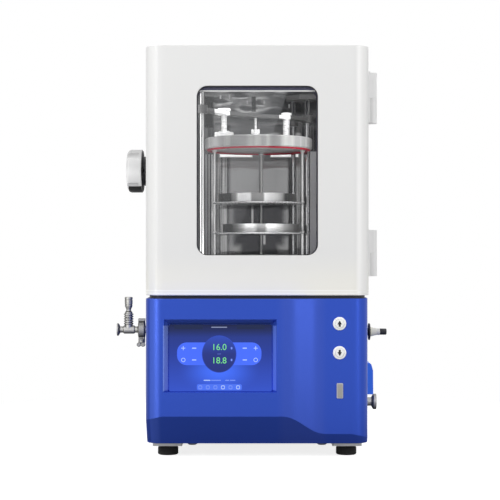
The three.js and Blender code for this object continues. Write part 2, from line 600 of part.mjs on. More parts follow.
// ---- left side: vent nozzle, needle valve and their flange clamp ----
const { y: vy, z: vz, stemX, jointX } = VALVE;
const BORE_R = 5.5;
add("side_nozzle", turned("x", [0, vy, vz], [
  [BORE_R, jointX], [15, jointX], [15, jointX + 3], [9, jointX + 9], [9, -254], [20, -254],
  [20, -250], [9, -250], [9, -236], [BORE_R, -236],
], 16), "steel");
const ridges = [];
for (let i = 0; i < 3; i++) ridges.push([11, 296 + i * 9], [11, 301 + i * 9], [10, 303 + i * 9]);
add("valve_body", minus(
  union(
    turned("x", [0, vy, vz], [
      [0, -335], [15, -335], [15, -332], [12, -329], [7.5, -328], [7.5, -321], [10, -319], [10, -294],
      [7.5, -292], [7.5, jointX - 10.5], [9, jointX - 9], [15, jointX - 3], [15, jointX], [0, jointX],
    ], 16),
    turned("z", [stemX, vy], [[0, vz + 2], [9, vz + 2], [9, 293], ...ridges, [9, 323], [0, 323]], 12),
  ),
  rod("x", [0, vy, vz], BORE_R, -340, stemX - 6),
  rod("x", [0, vy, vz], BORE_R, stemX + 6, -270),
  rod("z", [stemX, vy], 3 + RUN, 300, 330, 8),
), "steel");
add("valve_handle", turned("z", [stemX, vy], [
  [0, 302], [3, 302], [3, 323 + RUN], [7, 323 + RUN], [7, 325], [5.6, 328], [8.6, 336],
  [9.4, 345], [9.4, 357.5], [8.6, 359], [0, 359],
], 14), "dark");
add("flange_clamp", union(
  minus(
    turned("x", [0, vy, vz], [
      [10.4, jointX - 8], [20.5, jointX - 8], [20.5, jointX + 8], [10.4, jointX + 8],
      [15.4, jointX + 3], [15.4, jointX - 3],
    ], 16),
    box(-300, -250, vy - 2, vy + 2, 240, 275),
  ),
  box(jointX - 8, jointX + 8, vy - 9, vy + 9, vz + 19, 307.5),
  box(jointX - 7, jointX + 7, vy - 14, vy - 2, 249, 264),
  box(jointX - 7, jointX + 7, vy + 2, vy + 14, 249, 264),
  rod("y", [jointX, 0, NUT_Z], 3, -97, -52, 8),
), "aluminium");
add("clamp_nut", minus(
  union(
    rod("y", [jointX, 0, NUT_Z], 6, -95, -82.4, 10),
    rod("y", [jointX - 4.5, 0, NUT_Z - 8], 5.5, -94.5, -90, 9),
    rod("y", [jointX + 4.5, 0, NUT_Z - 8], 5.5, -94.5, -90, 9),
  ),
  rod("y", [jointX, 0, NUT_Z], 3 + RUN, -100, -80, 8),
), "aluminium");

// ---- right side: drain, hood, pump port ----
const CAP_X = 295; // where the drain's cap starts
const STUD_END = 304;
add("drain_body", turned("x", DRAIN, [
  [0, 250], [12, 250], [12, 253], [9, 255], [9, 267.3], [20.4, 267.3], [20.4, 271.4], [10.5, 271.4],
  [8.1, 277.7], [8.1, CAP_X], [5, CAP_X], [5, STUD_END], [0, STUD_END],
], 14), "dark");
add("drain_cap", turned("x", DRAIN, [
  [5 + RUN, CAP_X + RUN], [7, CAP_X + RUN], [7.6, CAP_X + 1.5], [7.6, 309], [6, 311], [0, 311],
  [0, STUD_END + RUN], [5 + RUN, STUD_END + RUN],
], 14), "dark");
const HOOD_OUT = [[250, 204], [266, 204], [271, 201], [275, 186], [275.5, 130], [250, 130]];
const HOOD_IN = [[249, 202], [265.4, 202], [269.4, 199.6], [273, 185.6], [273.5, 129], [249, 129]];
add("side_hood", minus(prism(HOOD_OUT, "y", -110, -26), prism(HOOD_IN, "y", -108, -28)), "blue");
add("pump_port", turned("x", PUMP_PORT, [
  [8, 236], [11, 236], [11, 250], [24, 250], [24, 254], [11, 254], [11, 296], [19, 300],
  [20, 302], [20, 308.6], [8, 308.6],
], 16), "steel");
add("power_inlet", minus(
  union(box(-176, -124, BACK_Y, BACK_Y + 1, 75, 105), box(-173, -127, 264, BACK_Y + 0.5, 78, 102)),
  box(-164, -136, 267, 285, 81, 99),
  rod("y", [-170, 0, 90], 1.6, 270, 285, 6),
  rod("y", [-130, 0, 90], 1.6, 270, 285, 6),
), "dark");

export default group;
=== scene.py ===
import math

import bmesh
import bpy
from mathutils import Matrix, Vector


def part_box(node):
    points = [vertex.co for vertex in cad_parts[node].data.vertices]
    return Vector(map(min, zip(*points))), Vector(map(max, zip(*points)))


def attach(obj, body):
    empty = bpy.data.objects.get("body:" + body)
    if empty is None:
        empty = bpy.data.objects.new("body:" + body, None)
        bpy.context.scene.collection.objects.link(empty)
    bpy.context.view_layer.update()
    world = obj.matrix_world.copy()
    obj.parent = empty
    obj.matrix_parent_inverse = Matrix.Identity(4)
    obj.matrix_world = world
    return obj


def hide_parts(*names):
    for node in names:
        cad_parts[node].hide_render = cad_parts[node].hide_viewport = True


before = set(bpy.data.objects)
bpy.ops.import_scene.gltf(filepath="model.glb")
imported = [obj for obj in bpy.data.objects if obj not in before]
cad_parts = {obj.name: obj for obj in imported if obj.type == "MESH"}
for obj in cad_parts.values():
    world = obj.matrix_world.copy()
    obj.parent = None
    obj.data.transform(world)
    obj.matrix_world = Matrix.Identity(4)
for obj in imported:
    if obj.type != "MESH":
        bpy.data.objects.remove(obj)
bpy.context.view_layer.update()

scene = bpy.context.scene
scene.view_settings.view_transform = "Standard"


# ---- Camera, lamps and floor ----
# A level camera stands a little under three metres in front of the door, just above the window's
# lower edge. A pale floor takes the soft shadow, large lamps light the front evenly, and four
# small lamps stand for the light that finds its way into the cabinet.
CAMERA_PLACE = (-0.0044, -3.173, 0.4683)
LENS = 93.6
WHITE = (1, 1, 1, 1)

def clear_selection():
    if bpy.context.mode != "OBJECT":
        bpy.ops.object.mode_set(mode="OBJECT")
    bpy.ops.object.select_all(action="DESELECT")

clear_selection()
bpy.ops.object.camera_add(location=CAMERA_PLACE, rotation=(math.pi / 2, 0, 0))
camera = bpy.context.object
camera.data.lens = LENS
camera.data.clip_end = 50
scene.camera = camera

def lamp(name, place, target, size, watts):
    bpy.ops.object.light_add(type="AREA", location=place)
    light = bpy.context.object
    light.name = name
    light.data.shape = "RECTANGLE"
    light.data.size, light.data.size_y = size
    light.data.energy = watts
    light.rotation_euler = (Vector(target) - Vector(place)).to_track_quat("-Z", "Y").to_euler()
    return light

lamp("key_lamp", (-2.7, -3.0, 3.1), (0, 0, 0.55), (2.2, 2.0), 70)
lamp("fill_lamp", (2.5, -3.1, 2.8), (0, 0, 0.5), (2.0, 1.8), 40)
lamp("left_strip", (-2.34, -2.43, 0.62), (-0.24, -0.28, 0.5), (0.6, 2.1), 27)
lamp("right_strip", (2.55, -2.2, 0.62), (0.25, -0.26, 0.5), (0.4, 2.1), 14)
lamp("top_lamp", (0, 0.3, 2.9), (0, 0, 0.6), (1.6, 1.6), 18)
lamp("back_lamp", (0.6, 2.6, 1.8), (0, 0, 0.5), (1.6, 1.6), 20)
for tag, place, size, watts in (("top", (0.012, -0.08, 0.8865), (0.34, 0.12), 0.9),
                                ("left", (-0.176, -0.165, 0.6365), (0.05, 0.44), 0.7),
                                ("right", (0.200, -0.165, 0.6365), (0.05, 0.44), 0.7),
                                ("low", (0.012, -0.17, 0.43), (0.3, 0.04), 0.5)):
    inner = lamp("cabinet_lamp_" + tag, place, (0.012, 0.06, 0.6), size, watts)
    inner.visible_glossy = False

def feed(tree, node, inputs):
    """Sets a node's inputs; a value that is a socket gets linked in."""
    for key, value in inputs.items():
        if isinstance(value, bpy.types.NodeSocket):
            tree.links.new(value, node.inputs[key])
        else:
            node.inputs[key].default_value = value
    return node

def add_node(tree, kind, inputs=None, **settings):
    """A node with its settings, and then its inputs."""
    made = tree.nodes.new(kind)
    for key, value in settings.items():
        setattr(made, key, value)
    return feed(tree, made, inputs or {})

def reckon(tree, operation, *values):
    """Arithmetic on sockets and numbers."""
    return add_node(tree, "ShaderNodeMath", dict(enumerate(values)), operation=operation).outputs[0]

def mapped(tree, value, start, end, low=0.0, high=1.0, eased=False):
    """Carries the range from start to end over to low and high."""
    return add_node(tree, "ShaderNodeMapRange", {
        "Value": value, "From Min": start, "From Max": end, "To Min": low, "To Max": high},
        interpolation_type="SMOOTHSTEP" if eased else "LINEAR").outputs[0]

def mixed(tree, factor, first, second):
    """One colour turning into another as the factor goes from 0 to 1."""
    return add_node(tree, "ShaderNodeMix", {"Factor": factor, "A": first, "B": second},
                    data_type="RGBA").outputs["Result"]

def sees_white(tree):
    """A mask that is 1 for camera, glossy and transmission rays."""
    path = add_node(tree, "ShaderNodeLightPath").outputs
    seen = reckon(tree, "MAXIMUM", path["Is Camera Ray"], path["Is Glossy Ray"])
    return reckon(tree, "MAXIMUM", seen, path["Is Transmission Ray"])

world = bpy.data.worlds.new("studio")
scene.world = world
world.use_nodes = True
sky = world.node_tree
sky_plain = feed(sky, sky.nodes["Background"], {"Color": WHITE, "Strength": 0.55})
sky_white = add_node(sky, "ShaderNodeBackground", {"Color": WHITE, "Strength": 1.0})
sky_mix = add_node(sky, "ShaderNodeMixShader", {
    0: sees_white(sky), 1: sky_plain.outputs[0], 2: sky_white.outputs[0]})
feed(sky, sky.nodes["World Output"], {"Surface": sky_mix.outputs[0]})

def new_look(name):
    """A new material, with its tree, its shader and the Object coordinates."""
    look = bpy.data.materials.new(name)
    look.use_nodes = True
    tree = look.node_tree
    where = add_node(tree, "ShaderNodeTexCoord").outputs["Object"]
    return look, tree, tree.nodes["Principled BSDF"], where

clear_selection()
bpy.ops.mesh.primitive_circle_add(vertices=96, radius=6.0, fill_type="NGON", location=(0, 0, -0.0005))
floor = bpy.context.object
floor.name = "floor"
floor_look, tree, shader, where = new_look("floor_paper")
eye = add_node(tree, "ShaderNodeLightPath").outputs["Is Camera Ray"]
feed(tree, shader, {
    "Base Color": mixed(tree, eye, (0.24, 0.24, 0.24, 1), (0.62, 0.62, 0.62, 1)),
    "Roughness": 0.9, "Specular IOR Level": 0.1,
    "Emission Color": WHITE, "Emission Strength": reckon(tree, "MULTIPLY", eye, 0.80)})
glow = add_node(tree, "ShaderNodeEmission", {"Color": WHITE})
reach = add_node(tree, "ShaderNodeVectorMath", {0: where}, operation="LENGTH").outputs["Value"]
far_white = reckon(tree, "MULTIPLY", mapped(tree, reach, 0.45, 1.1), sees_white(tree))
floor_mix = add_node(tree, "ShaderNodeMixShader", {
    0: far_white, 1: shader.outputs[0], 2: glow.outputs[0]})
feed(tree, tree.nodes["Material Output"], {"Surface": floor_mix.outputs[0]})
floor.data.materials.append(floor_look)


# ---- Base front cover ----
# One moulded shell, sprayed blue. Its left part stands proud for the screen, an S step leads back
# to the buttons, and the bottom edge is undercut. The coat has a faint orange peel, and painted
# highlights and shade: soft light and dark bands along its edges, on the S step and in the pocket.
MM = 0.001
BLUE = (0.0372, 0.0908, 0.5209)

def start_group(name, inputs, outputs):
    """A node group. Each label comes with its socket kind, or with the number that it starts at."""
    group = bpy.data.node_groups.new(name, "ShaderNodeTree")
    for way, labels in (("INPUT", inputs), ("OUTPUT", outputs)):
        for label, kind in labels.items():
            number = isinstance(kind, float)
            made = group.interface.new_socket(
                name=label, in_out=way, socket_type="NodeSocket" + ("Float" if number else kind))
            if number:
                made.default_value = kind
    return group, add_node(group, "NodeGroupInput").outputs, add_node(group, "NodeGroupOutput")

def build_fine_grain():
    """Cloudy change of tint and gloss, with a fine bump, for coats and moulded surfaces."""
    group, given, end = start_group(
        "fine_grain",
        {"Vector": "Vector", "Colour": "Color", "Variation": 0.04, "Gloss": 0.35, "Scale": 900.0},
        {"Colour": "Color", "Roughness": "Float", "Height": "Float"})
    cloud = add_node(group, "ShaderNodeTexNoise", {"Vector": given["Vector"], "Scale": 7.0, "Detail": 5.0})
    peel = add_node(group, "ShaderNodeTexNoise", {
        "Vector": given["Vector"], "Scale": given["Scale"], "Detail": 2.0})
    centred = reckon(group, "SUBTRACT", cloud.outputs["Fac"], 0.5)
    spread = reckon(group, "MULTIPLY_ADD", centred, given["Variation"], 1.0)
    tint = add_node(group, "ShaderNodeVectorMath", {0: given["Colour"], "Scale": spread}, operation="SCALE")
    gloss = reckon(group, "MULTIPLY_ADD", centred, 0.16, given["Gloss"])
    feed(group, end, {"Colour": tint.outputs[0], "Roughness": gloss, "Height": peel.outputs["Fac"]})
    return group

fine_grain = build_fine_grain()

def coated(name, colour, gloss=0.35, variation=0.05, scale=900.0, bump=0.02, metallic=0.0, coat=0.0,
           alpha=1.0, specular=0.5):
    """A sprayed, moulded or cast finish."""
    look, tree, shader, where = new_look(name)
    grain = add_node(tree, "ShaderNodeGroup", {
        "Vector": where, "Colour": (*colour, 1), "Variation": variation, "Gloss": gloss, "Scale": scale},
        node_tree=fine_grain)
    relief = add_node(tree, "ShaderNodeBump", {
        "Height": grain.outputs["Height"], "Strength": bump, "Distance": 0.001})
    feed(tree, shader, {
        "Base Color": grain.outputs["Colour"], "Roughness": grain.outputs["Roughness"],
        "Normal": relief.outputs[0], "Metallic": metallic, "Coat Weight": coat, "Alpha": alpha,
        "Specular IOR Level": specular})
    return look

blue_enamel = coated("blue_enamel", BLUE, gloss=0.34, metallic=0.42, specular=0.08)

def take(piece):
    clear_selection()
    piece.select_set(True)
    bpy.context.view_layer.objects.active = piece

def press(piece, kind, **settings):
    """Adds a modifier and applies it."""
    take(piece)
    step = piece.modifiers.new("step", kind)
    for key, value in settings.items():
        setattr(step, key, value)
    bpy.ops.object.modifier_apply(modifier=step.name)

def round_edges(piece, width=0.5, segments=2, angle=32):
    press(piece, "BEVEL", width=width * MM, segments=segments, limit_method="ANGLE",
          angle_limit=math.radians(angle), harden_normals=False)
    press(piece, "WEIGHTED_NORMAL", keep_sharp=True)

def smooth(piece, angle=32):
    take(piece)
    bpy.ops.object.shade_smooth_by_angle(angle=math.radians(angle))

def from_node(node, name, width=0.5, segments=2):
    """Takes a folded or moulded piece over from the frame, as one skin with softened edges."""
    take(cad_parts[node])
    bpy.ops.object.duplicate()
    piece = bpy.context.object
    piece.name = piece.data.name = name
    piece.data.materials.clear()
    bpy.ops.object.mode_set(mode="EDIT")
    bpy.ops.mesh.select_all(action="SELECT")
    bpy.ops.mesh.remove_doubles(threshold=0.02 * MM)
    bpy.ops.mesh.dissolve_limited(angle_limit=math.radians(0.6))
    bpy.ops.object.mode_set(mode="OBJECT")
    smooth(piece)
    round_edges(piece, width, segments)
    return piece

def fit_out(piece, look, body, slot, *nodes):
    """Finish, body, slot and the CAD nodes that the piece stands for; slot is not used."""
    piece.data.materials.clear()
    piece.data.materials.append(look)
    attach(piece, body)
    if nodes:
        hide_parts(*nodes)

def build_soft_patch():
    """A mask that is 1 inside a box across X and Z and fades out past its sides."""
    group, given, end = start_group(
        "soft_patch", {"Vector": "Vector", "Centre": "Vector", "Half Size": "Vector", "Fade": 0.02},
        {"Mask": "Float"})
    away = add_node(group, "ShaderNodeVectorMath", {0: given["Vector"], 1: given["Centre"]},
                    operation="SUBTRACT")
    size = add_node(group, "ShaderNodeVectorMath", {0: away.outputs[0]}, operation="ABSOLUTE")
    past = add_node(group, "ShaderNodeVectorMath", {0: size.outputs[0], 1: given["Half Size"]},
                    operation="SUBTRACT")
    parts = add_node(group, "ShaderNodeSeparateXYZ", {0: past.outputs[0]}).outputs
    furthest = reckon(group, "MAXIMUM", parts["X"], parts["Z"])
    feed(group, end, {"Mask": mapped(group, furthest, 0.0, given["Fade"], 1.0, 0.0, eased=True)})
    return group

soft_patch = build_soft_patch()

def parts_of(look):
    """A finish's tree, its shader and the coordinates that it was made with."""
    tree = look.node_tree
    where = next(node for node in tree.nodes if node.type == "TEX_COORD")
    return tree, tree.nodes["Principled BSDF"], where.outputs["Object"]

def patch(look, centre, half, fade):
    """A soft box as a mask: its centre, its half sizes and how far it fades."""
    tree, _, where = parts_of(look)
    return add_node(tree, "ShaderNodeGroup", {
        "Vector": where, "Centre": centre, "Half Size": half, "Fade": fade},
        node_tree=soft_patch).outputs["Mask"]

def tinted(look, colour, mask):
    """Mixes another colour, or a plain grey, into a finish where a mask says so."""
    tree, shader, _ = parts_of(look)
    colour = colour if isinstance(colour, tuple) else (colour, colour, colour)
    before = shader.inputs["Base Color"].links[0].from_socket
    feed(tree, shader, {"Base Color": mixed(tree, mask, before, (*colour, 1))})

def tint_patches(look, rows):
    """Tints soft boxes of a finish; each row is a colour and what a patch needs."""
    for colour, *place in rows:
        tinted(look, colour, patch(look, *place))

cover_blue = coated("cover_blue", BLUE, gloss=0.34, metallic=0.42, specular=0.08)
# Painted highlights and shade: a light band on the S step, a highlight and a darker rim at the left corner,
# light on the pocket's top facet and lit cheeks down its sides.
tint_patches(cover_blue, (
    ((0.048, 0.100, 0.52), (0.112, 0, 0.24), (0.036, 1, 0.2), 0.025),
    ((0.062, 0.126, 0.60), (-0.2170, 0, 0.24), (0.005, 1, 0.2), 0.011),
    ((0.026, 0.066, 0.40), (-0.2335, 0, 0.24), (0.0035, 1, 0.2), 0.004),
    ((0.075, 0.150, 0.62), (-0.073, 0, 0.3085), (0.118, 1, 0.005), 0.002),
    ((0.24, 0.34, 0.80), (-0.1900, 0, 0.2285), (0.0042, 1, 0.070), 0.004),
    ((0.16, 0.28, 0.92), (0.0478, 0, 0.2285), (0.0042, 1, 0.070), 0.004)))
cover = from_node("base_front_cover", "front_cover", width=1.6, segments=3)
fit_out(cover, cover_blue, "machine", "blue_enamel", "base_front_cover")


# ---- Side panels, back panel and the hood ----
# Bent sheet, sprayed like the cover. The back has slots for the fan, and the right side has a
# small hood over its air slots.
hood_blue = coated("hood_blue", (0.07, 0.24, 1.0), gloss=0.36, specular=0.1)
for node in ("base_side_left", "base_side_right", "base_back_panel", "side_hood"):
    panel = from_node(node, node + "_sheet", width=0.5)
    fit_out(panel, hood_blue if node == "side_hood" else blue_enamel, "machine", "blue_enamel", node)


# ---- Floor pan, feet and top deck ----
# The pan is pressed grey sheet with four foot pads and two bolt heads under its front, the feet are
# turned rubber, and the deck that carries the cabinet is dark moulding.
pan_grey = coated("pan_grey", (0.86, 0.86, 0.86), gloss=0.45)
black_plastic = coated("black_plastic", (0.014, 0.015, 0.02), gloss=0.5, variation=0.2, bump=0.06)
pan = from_node("base_floor_pan", "floor_pan", width=0.6)
fit_out(pan, pan_grey, "machine", "pan_grey", "base_floor_pan")
deck = from_node("top_deck", "deck", width=0.5)
fit_out(deck, black_plastic, "machine", "black_plastic", "top_deck")

SPIN_TURN = {"X": (0, math.pi / 2, 0), "Y": (-math.pi / 2, 0, 0), "Z": (0, 0, 0)}

def start_point(name):
    """A mesh of one vertex at the origin, left in edit mode."""
    clear_selection()
    bpy.ops.mesh.primitive_plane_add(size=0.001, location=(0, 0, 0))
    piece = bpy.context.object
    piece.name = piece.data.name = name
    bpy.ops.object.mode_set(mode="EDIT")
    bpy.ops.mesh.select_mode(type="VERT")
    bpy.ops.mesh.select_all(action="SELECT")
    bpy.ops.mesh.merge(type="CENTER")
    return piece

def draw_on(step):
    bpy.ops.mesh.extrude_region_move(TRANSFORM_OT_translate={"value": step})

def weld(distance):
    """Merges points closer than a distance in millimetres and turns the skin outward."""
    bpy.ops.mesh.select_all(action="SELECT")
    bpy.ops.mesh.remove_doubles(threshold=distance * MM)
    bpy.ops.mesh.normals_make_consistent(inside=False)

def turned(name, axis, centre, outline, closed=False, steps=72, soft=0.4):
    """Spins an outline of (radius, height) in millimetres about a line through centre, in metres."""
    piece = start_point(name)
    here = (outline[0][0] * MM, outline[0][1] * MM)
    bpy.ops.transform.translate(value=(here[0], 0, here[1]))
    for radius, height in [*outline[1:], *([outline[0]] if closed else [])]:
        there = (radius * MM, height * MM)
        draw_on((there[0] - here[0], 0, there[1] - here[1]))
        here = there
    bpy.ops.mesh.select_all(action="SELECT")
    bpy.ops.mesh.spin(steps=steps, dupli=False, angle=2 * math.pi, center=(0, 0, 0), axis=(0, 0, 1))
    weld(0.004)
    bpy.ops.object.mode_set(mode="OBJECT")
    piece.rotation_euler = SPIN_TURN[axis]
    piece.location = centre
    bpy.ops.object.transform_apply(location=True, rotation=True, scale=True)
    smooth(piece)
    if soft:
        round_edges(piece, soft)
    return piece

RIB_PITCH = 3.4
black_rubber = coated("black_rubber", (0.012, 0.012, 0.012), gloss=0.75, variation=0.3, scale=500, bump=0.2)
for corner in ("front_left", "front_right", "back_left", "back_right"):
    low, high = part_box("foot_" + corner)
    middle = ((low[0] + high[0]) / 2, (low[1] + high[1]) / 2, 0)
    outline = [(0, 0), (21.5, 0), (23.2, 1.6)]
    for k in range(4):
        up = RIB_PITCH * k
        outline += [(23.5, 3 + up), (23.5, 5.2 + up), (22.7, 5.6 + up), (22.7, 6.1 + up)]
    outline += [(21, 18), (19, 19.5), (19, 22.4), (0, 22.4)]
    foot = turned("rubber_foot_" + corner, "Z", middle, outline)
    fit_out(foot, black_rubber, "machine", "black_rubber", "foot_" + corner)
bolt_grey = coated("bolt_grey", (0.16, 0.17, 0.21), gloss=0.5)
for side, x in (("left", -0.136), ("right", 0.160)):
    head = turned("pan_bolt_" + side, "Z", (x, -0.200, 0), [
        (0, 23.7), (8.5, 23.7), (10.8, 25.4), (10.8, 28.6), (0, 28.6)])
    fit_out(head, bolt_grey, "machine", "pan_grey")


# ---- Screen ----
# A ten inch touch panel glued into the pocket of the cover. It glows: a dark blue picture with a
# bright band, a round gauge with two plain numbers, and rows of plain marks.
def span(node):
    low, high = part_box(node)
    return Vector(low), Vector(high), (Vector(low) + Vector(high)) / 2

def block(name, low, high, corner=0.0, along="Y", segments=6, soft=0.0):
    """A cube at its size and place. corner, in millimetres, rounds the four edges along one axis."""
    clear_selection()
    bpy.ops.mesh.primitive_cube_add(size=1, location=[(a + b) / 2 for a, b in zip(low, high)],
                                    scale=[b - a for a, b in zip(low, high)])
    piece = bpy.context.object
    piece.name = piece.data.name = name
    bpy.ops.object.transform_apply(location=True, rotation=True, scale=True)
    if corner:
        axis = "XYZ".index(along)
        bpy.ops.object.mode_set(mode="EDIT")
        bpy.ops.mesh.select_mode(type="EDGE")
        bpy.ops.mesh.select_all(action="DESELECT")
        mesh = bmesh.from_edit_mesh(piece.data)
        for edge in mesh.edges:
            run = edge.verts[1].co - edge.verts[0].co
            edge.select_set(abs(run[axis]) > 0.99 * run.length)
        bmesh.update_edit_mesh(piece.data)
        bpy.ops.mesh.bevel(offset=corner * MM, segments=segments, affect="EDGES")
        bpy.ops.mesh.select_mode(type="VERT")
        bpy.ops.object.mode_set(mode="OBJECT")
    smooth(piece)
    if soft:
        round_edges(piece, soft)
    return piece

def lit(name, colour):
    """A part of the picture on the screen: it shines by itself, a little unevenly, under glass."""
    look, tree, shader, where = new_look(name)
    grain = add_node(tree, "ShaderNodeGroup", {
        "Vector": where, "Colour": (*colour, 1), "Variation": 0.12, "Gloss": 0.3}, node_tree=fine_grain)
    feed(tree, shader, {
        "Emission Color": grain.outputs["Colour"], "Emission Strength": 1.0,
        "Roughness": grain.outputs["Roughness"], "Specular IOR Level": 0.12,
        "Base Color": (0.004, 0.006, 0.02, 1)})
    return look

def ramp(tree, value, stops, interpolation="LINEAR"):
    """A colour ramp; each stop is its place and its colour."""
    made = add_node(tree, "ShaderNodeValToRGB", {"Fac": value})
    made.color_ramp.interpolation = interpolation
    elements = made.color_ramp.elements
    while len(elements) < len(stops):
        elements.new(0.5)
    for element, (at, colour) in zip(elements, stops):
        element.position = at
        element.color = (*colour, 1)
    return made.outputs["Color"]

def height_of(tree, vector):
    return add_node(tree, "ShaderNodeSeparateXYZ", {0: vector}).outputs["Z"]

panel_low, panel_high, panel_mid = span("display")
GAUGE_AT = Vector((panel_mid.x - 2.7 * MM, panel_low.y, panel_mid.z + 8.7 * MM))
GLOW_BELOW_GAUGE = 0.038
panel_look = lit("screen_picture", (0, 0, 0))
tree, shader, where = parts_of(panel_look)
moved = add_node(tree, "ShaderNodeMapping", {
    "Vector": where, "Location": (-GAUGE_AT.x, 0, -GAUGE_AT.z + GLOW_BELOW_GAUGE)}).outputs[0]
picture = ramp(tree, mapped(tree, height_of(tree, moved), -0.045, 0.105), [
    (0.0, (0.034, 0.085, 0.56)), (0.30, (0.028, 0.066, 0.44)), (0.55, (0.022, 0.048, 0.32)),
    (0.80, (0.020, 0.040, 0.24)), (0.90, (0.015, 0.024, 0.105)), (1.0, (0.010, 0.013, 0.045))])
oval = add_node(tree, "ShaderNodeVectorMath", {0: moved, 1: (0.82, 0, 1.5)}, operation="MULTIPLY")
away = add_node(tree, "ShaderNodeVectorMath", {0: oval.outputs[0]}, operation="LENGTH")
halo = mapped(tree, away.outputs["Value"], 0.078, 0.0, eased=True)
feed(tree, shader, {"Emission Color": mixed(tree, halo, picture, (0.058, 0.165, 1.0, 1))})
touch_panel = block("touch_panel", panel_low, panel_high, corner=3, soft=0.3)
fit_out(touch_panel, panel_look, "machine", "screen_glass", "display")

def on_screen(name, look, across, up, width, height, corner, lift=0.06):
    """A flat mark on the screen; across and up are in millimetres from the middle of the gauge."""
    x, z = GAUGE_AT.x + across * MM, GAUGE_AT.z + up * MM
    mark = block(name, (x - width * MM / 2, GAUGE_AT.y - lift * MM, z - height * MM / 2),
                 (x + width * MM / 2, GAUGE_AT.y + 0.02 * MM, z + height * MM / 2), corner=corner)
    fit_out(mark, look, "machine", "screen_glass")

band_look = lit("screen_band", (0.066, 0.158, 1.0))
mark_look = lit("screen_mark", (0.46, 0.60, 1.0))
dim_look = lit("screen_dim_mark", (0.20, 0.31, 0.95))
faint_look = lit("screen_faint_mark", (0.075, 0.175, 0.90))
title_look = lit("screen_title", (0.26, 0.30, 0.46))
strip_look = lit("screen_top_strip", (0.013, 0.020, 0.060))
gauge_look = lit("screen_gauge", (0, 0, 0))
rim_look = lit("screen_gauge_rim", (0.030, 0.070, 0.50))
digit_look = lit("screen_digits", (0.22, 0.80, 0.26))
tree, shader, where = parts_of(gauge_look)
gauge_shade = ramp(tree, mapped(tree, height_of(tree, where), GAUGE_AT.z - 0.040, GAUGE_AT.z + 0.040), [
    (0.0, (0.020, 0.032, 0.19)), (0.5, (0.021, 0.036, 0.22)), (1.0, (0.032, 0.075, 0.46))])
feed(tree, shader, {"Emission Color": gauge_shade})
on_screen("screen_band", band_look, 0.2, 0.6, 187.6, 50.4, 21, lift=0.05)
for name, look, radius, lift in (("gauge_rim", rim_look, 38.4, 0.09),
                                 ("gauge_face", gauge_look, 37.2, 0.13)):
    gauge = turned(name, "Y", GAUGE_AT, [(0, -lift), (radius, -lift), (radius, 0.02), (0, 0.02)], soft=0)
    take(gauge)
    bpy.ops.object.mode_set(mode="EDIT")
    bpy.ops.mesh.select_all(action="SELECT")
    bpy.ops.transform.resize(value=(1, 1, 1.08), center_override=GAUGE_AT)
    bpy.ops.object.mode_set(mode="OBJECT")
    fit_out(gauge, look, "machine", "screen_glass")

def lettering(name, words, look, across, up, size):
    clear_selection()
    bpy.ops.object.text_add(
        location=(GAUGE_AT.x + across * MM, GAUGE_AT.y - 0.2 * MM, GAUGE_AT.z + up * MM),
        rotation=(math.pi / 2, 0, 0))
    text = bpy.context.object
    text.data.body = words
    text.data.size = size * MM
    text.data.extrude = 0.05 * MM
    text.data.align_x, text.data.align_y = "CENTER", "CENTER"
    bpy.ops.object.convert(target="MESH")
    text = bpy.context.object
    text.name = text.data.name = name
    bpy.ops.object.transform_apply(location=True, rotation=True, scale=True)
    fit_out(text, look, "machine", "screen_glass")

lettering("upper_reading", "16.0", digit_look, 0.0, 14.9, 19.5)
lettering("lower_reading", "18.8", digit_look, 0.0, -14.9, 19.5)
on_screen("gauge_line", dim_look, 0, 0.2, 8, 0.7, 0.3, lift=0.18)
for side, across, width in (("left", -68, 64), ("right", 70, 62)):
    on_screen("top_strip_" + side, strip_look, across, 60.6, width, 10.6, 0.4, lift=0.04)
on_screen("title_bar", title_look, 0, 59.6, 35, 2.2, 0.9)
ICON_REACH = 24.2
for row, up in (("upper", 13.1), ("lower", -13.1)):
    on_screen("unit_" + row, dim_look, 27.6, up, 3.4, 5.0, 1.0, lift=0.18)
    for side, across in (("left", -55.6), ("right", 57)):
        on_screen(f"band_label_{row}_{side}", mark_look, across, up, 9.6, 2.4, 0.9, lift=0.1)
        if row == "upper":
            for part, wide, tall in (("bar", 9, 1.6), ("stem", 1.6, 9)):
                on_screen(f"band_icon_{part}_{side}", mark_look,
                          across + math.copysign(ICON_REACH, across), up, wide, tall, 0.5, lift=0.1)
            continue
        ring_x = GAUGE_AT.x + (across + math.copysign(ICON_REACH, across)) * MM
        ring = turned(f"band_icon_{row}_{side}", "Y", (ring_x, GAUGE_AT.y, GAUGE_AT.z + up * MM),
                      [(3.4, -0.1), (4.8, -0.1), (4.8, 0.02), (3.4, 0.02)], closed=True, steps=32, soft=0)
        fit_out(ring, mark_look, "machine", "screen_glass")
for k, (across, width) in enumerate(((-27, 15), (-7, 22), (18, 9), (30, 12))):
    on_screen(f"status_mark_{k}", mark_look if k == 0 else dim_look, across, -58.4, width, 2.2, 0.9)
on_screen("menu_strip", faint_look, 0.4, -73.6, 100, 13.5, 4, lift=0.04)
KEY_PITCH = 16.8
for k in range(6):
    across = KEY_PITCH * k - 42
    on_screen(f"menu_key_{k}", mark_look if k in (3, 5) else dim_look, across, -74, 8.4, 8.6, 2.6)
    on_screen(f"menu_key_hole_{k}", faint_look, across, -74, 5.6, 5.2, 1.4, lift=0.1)


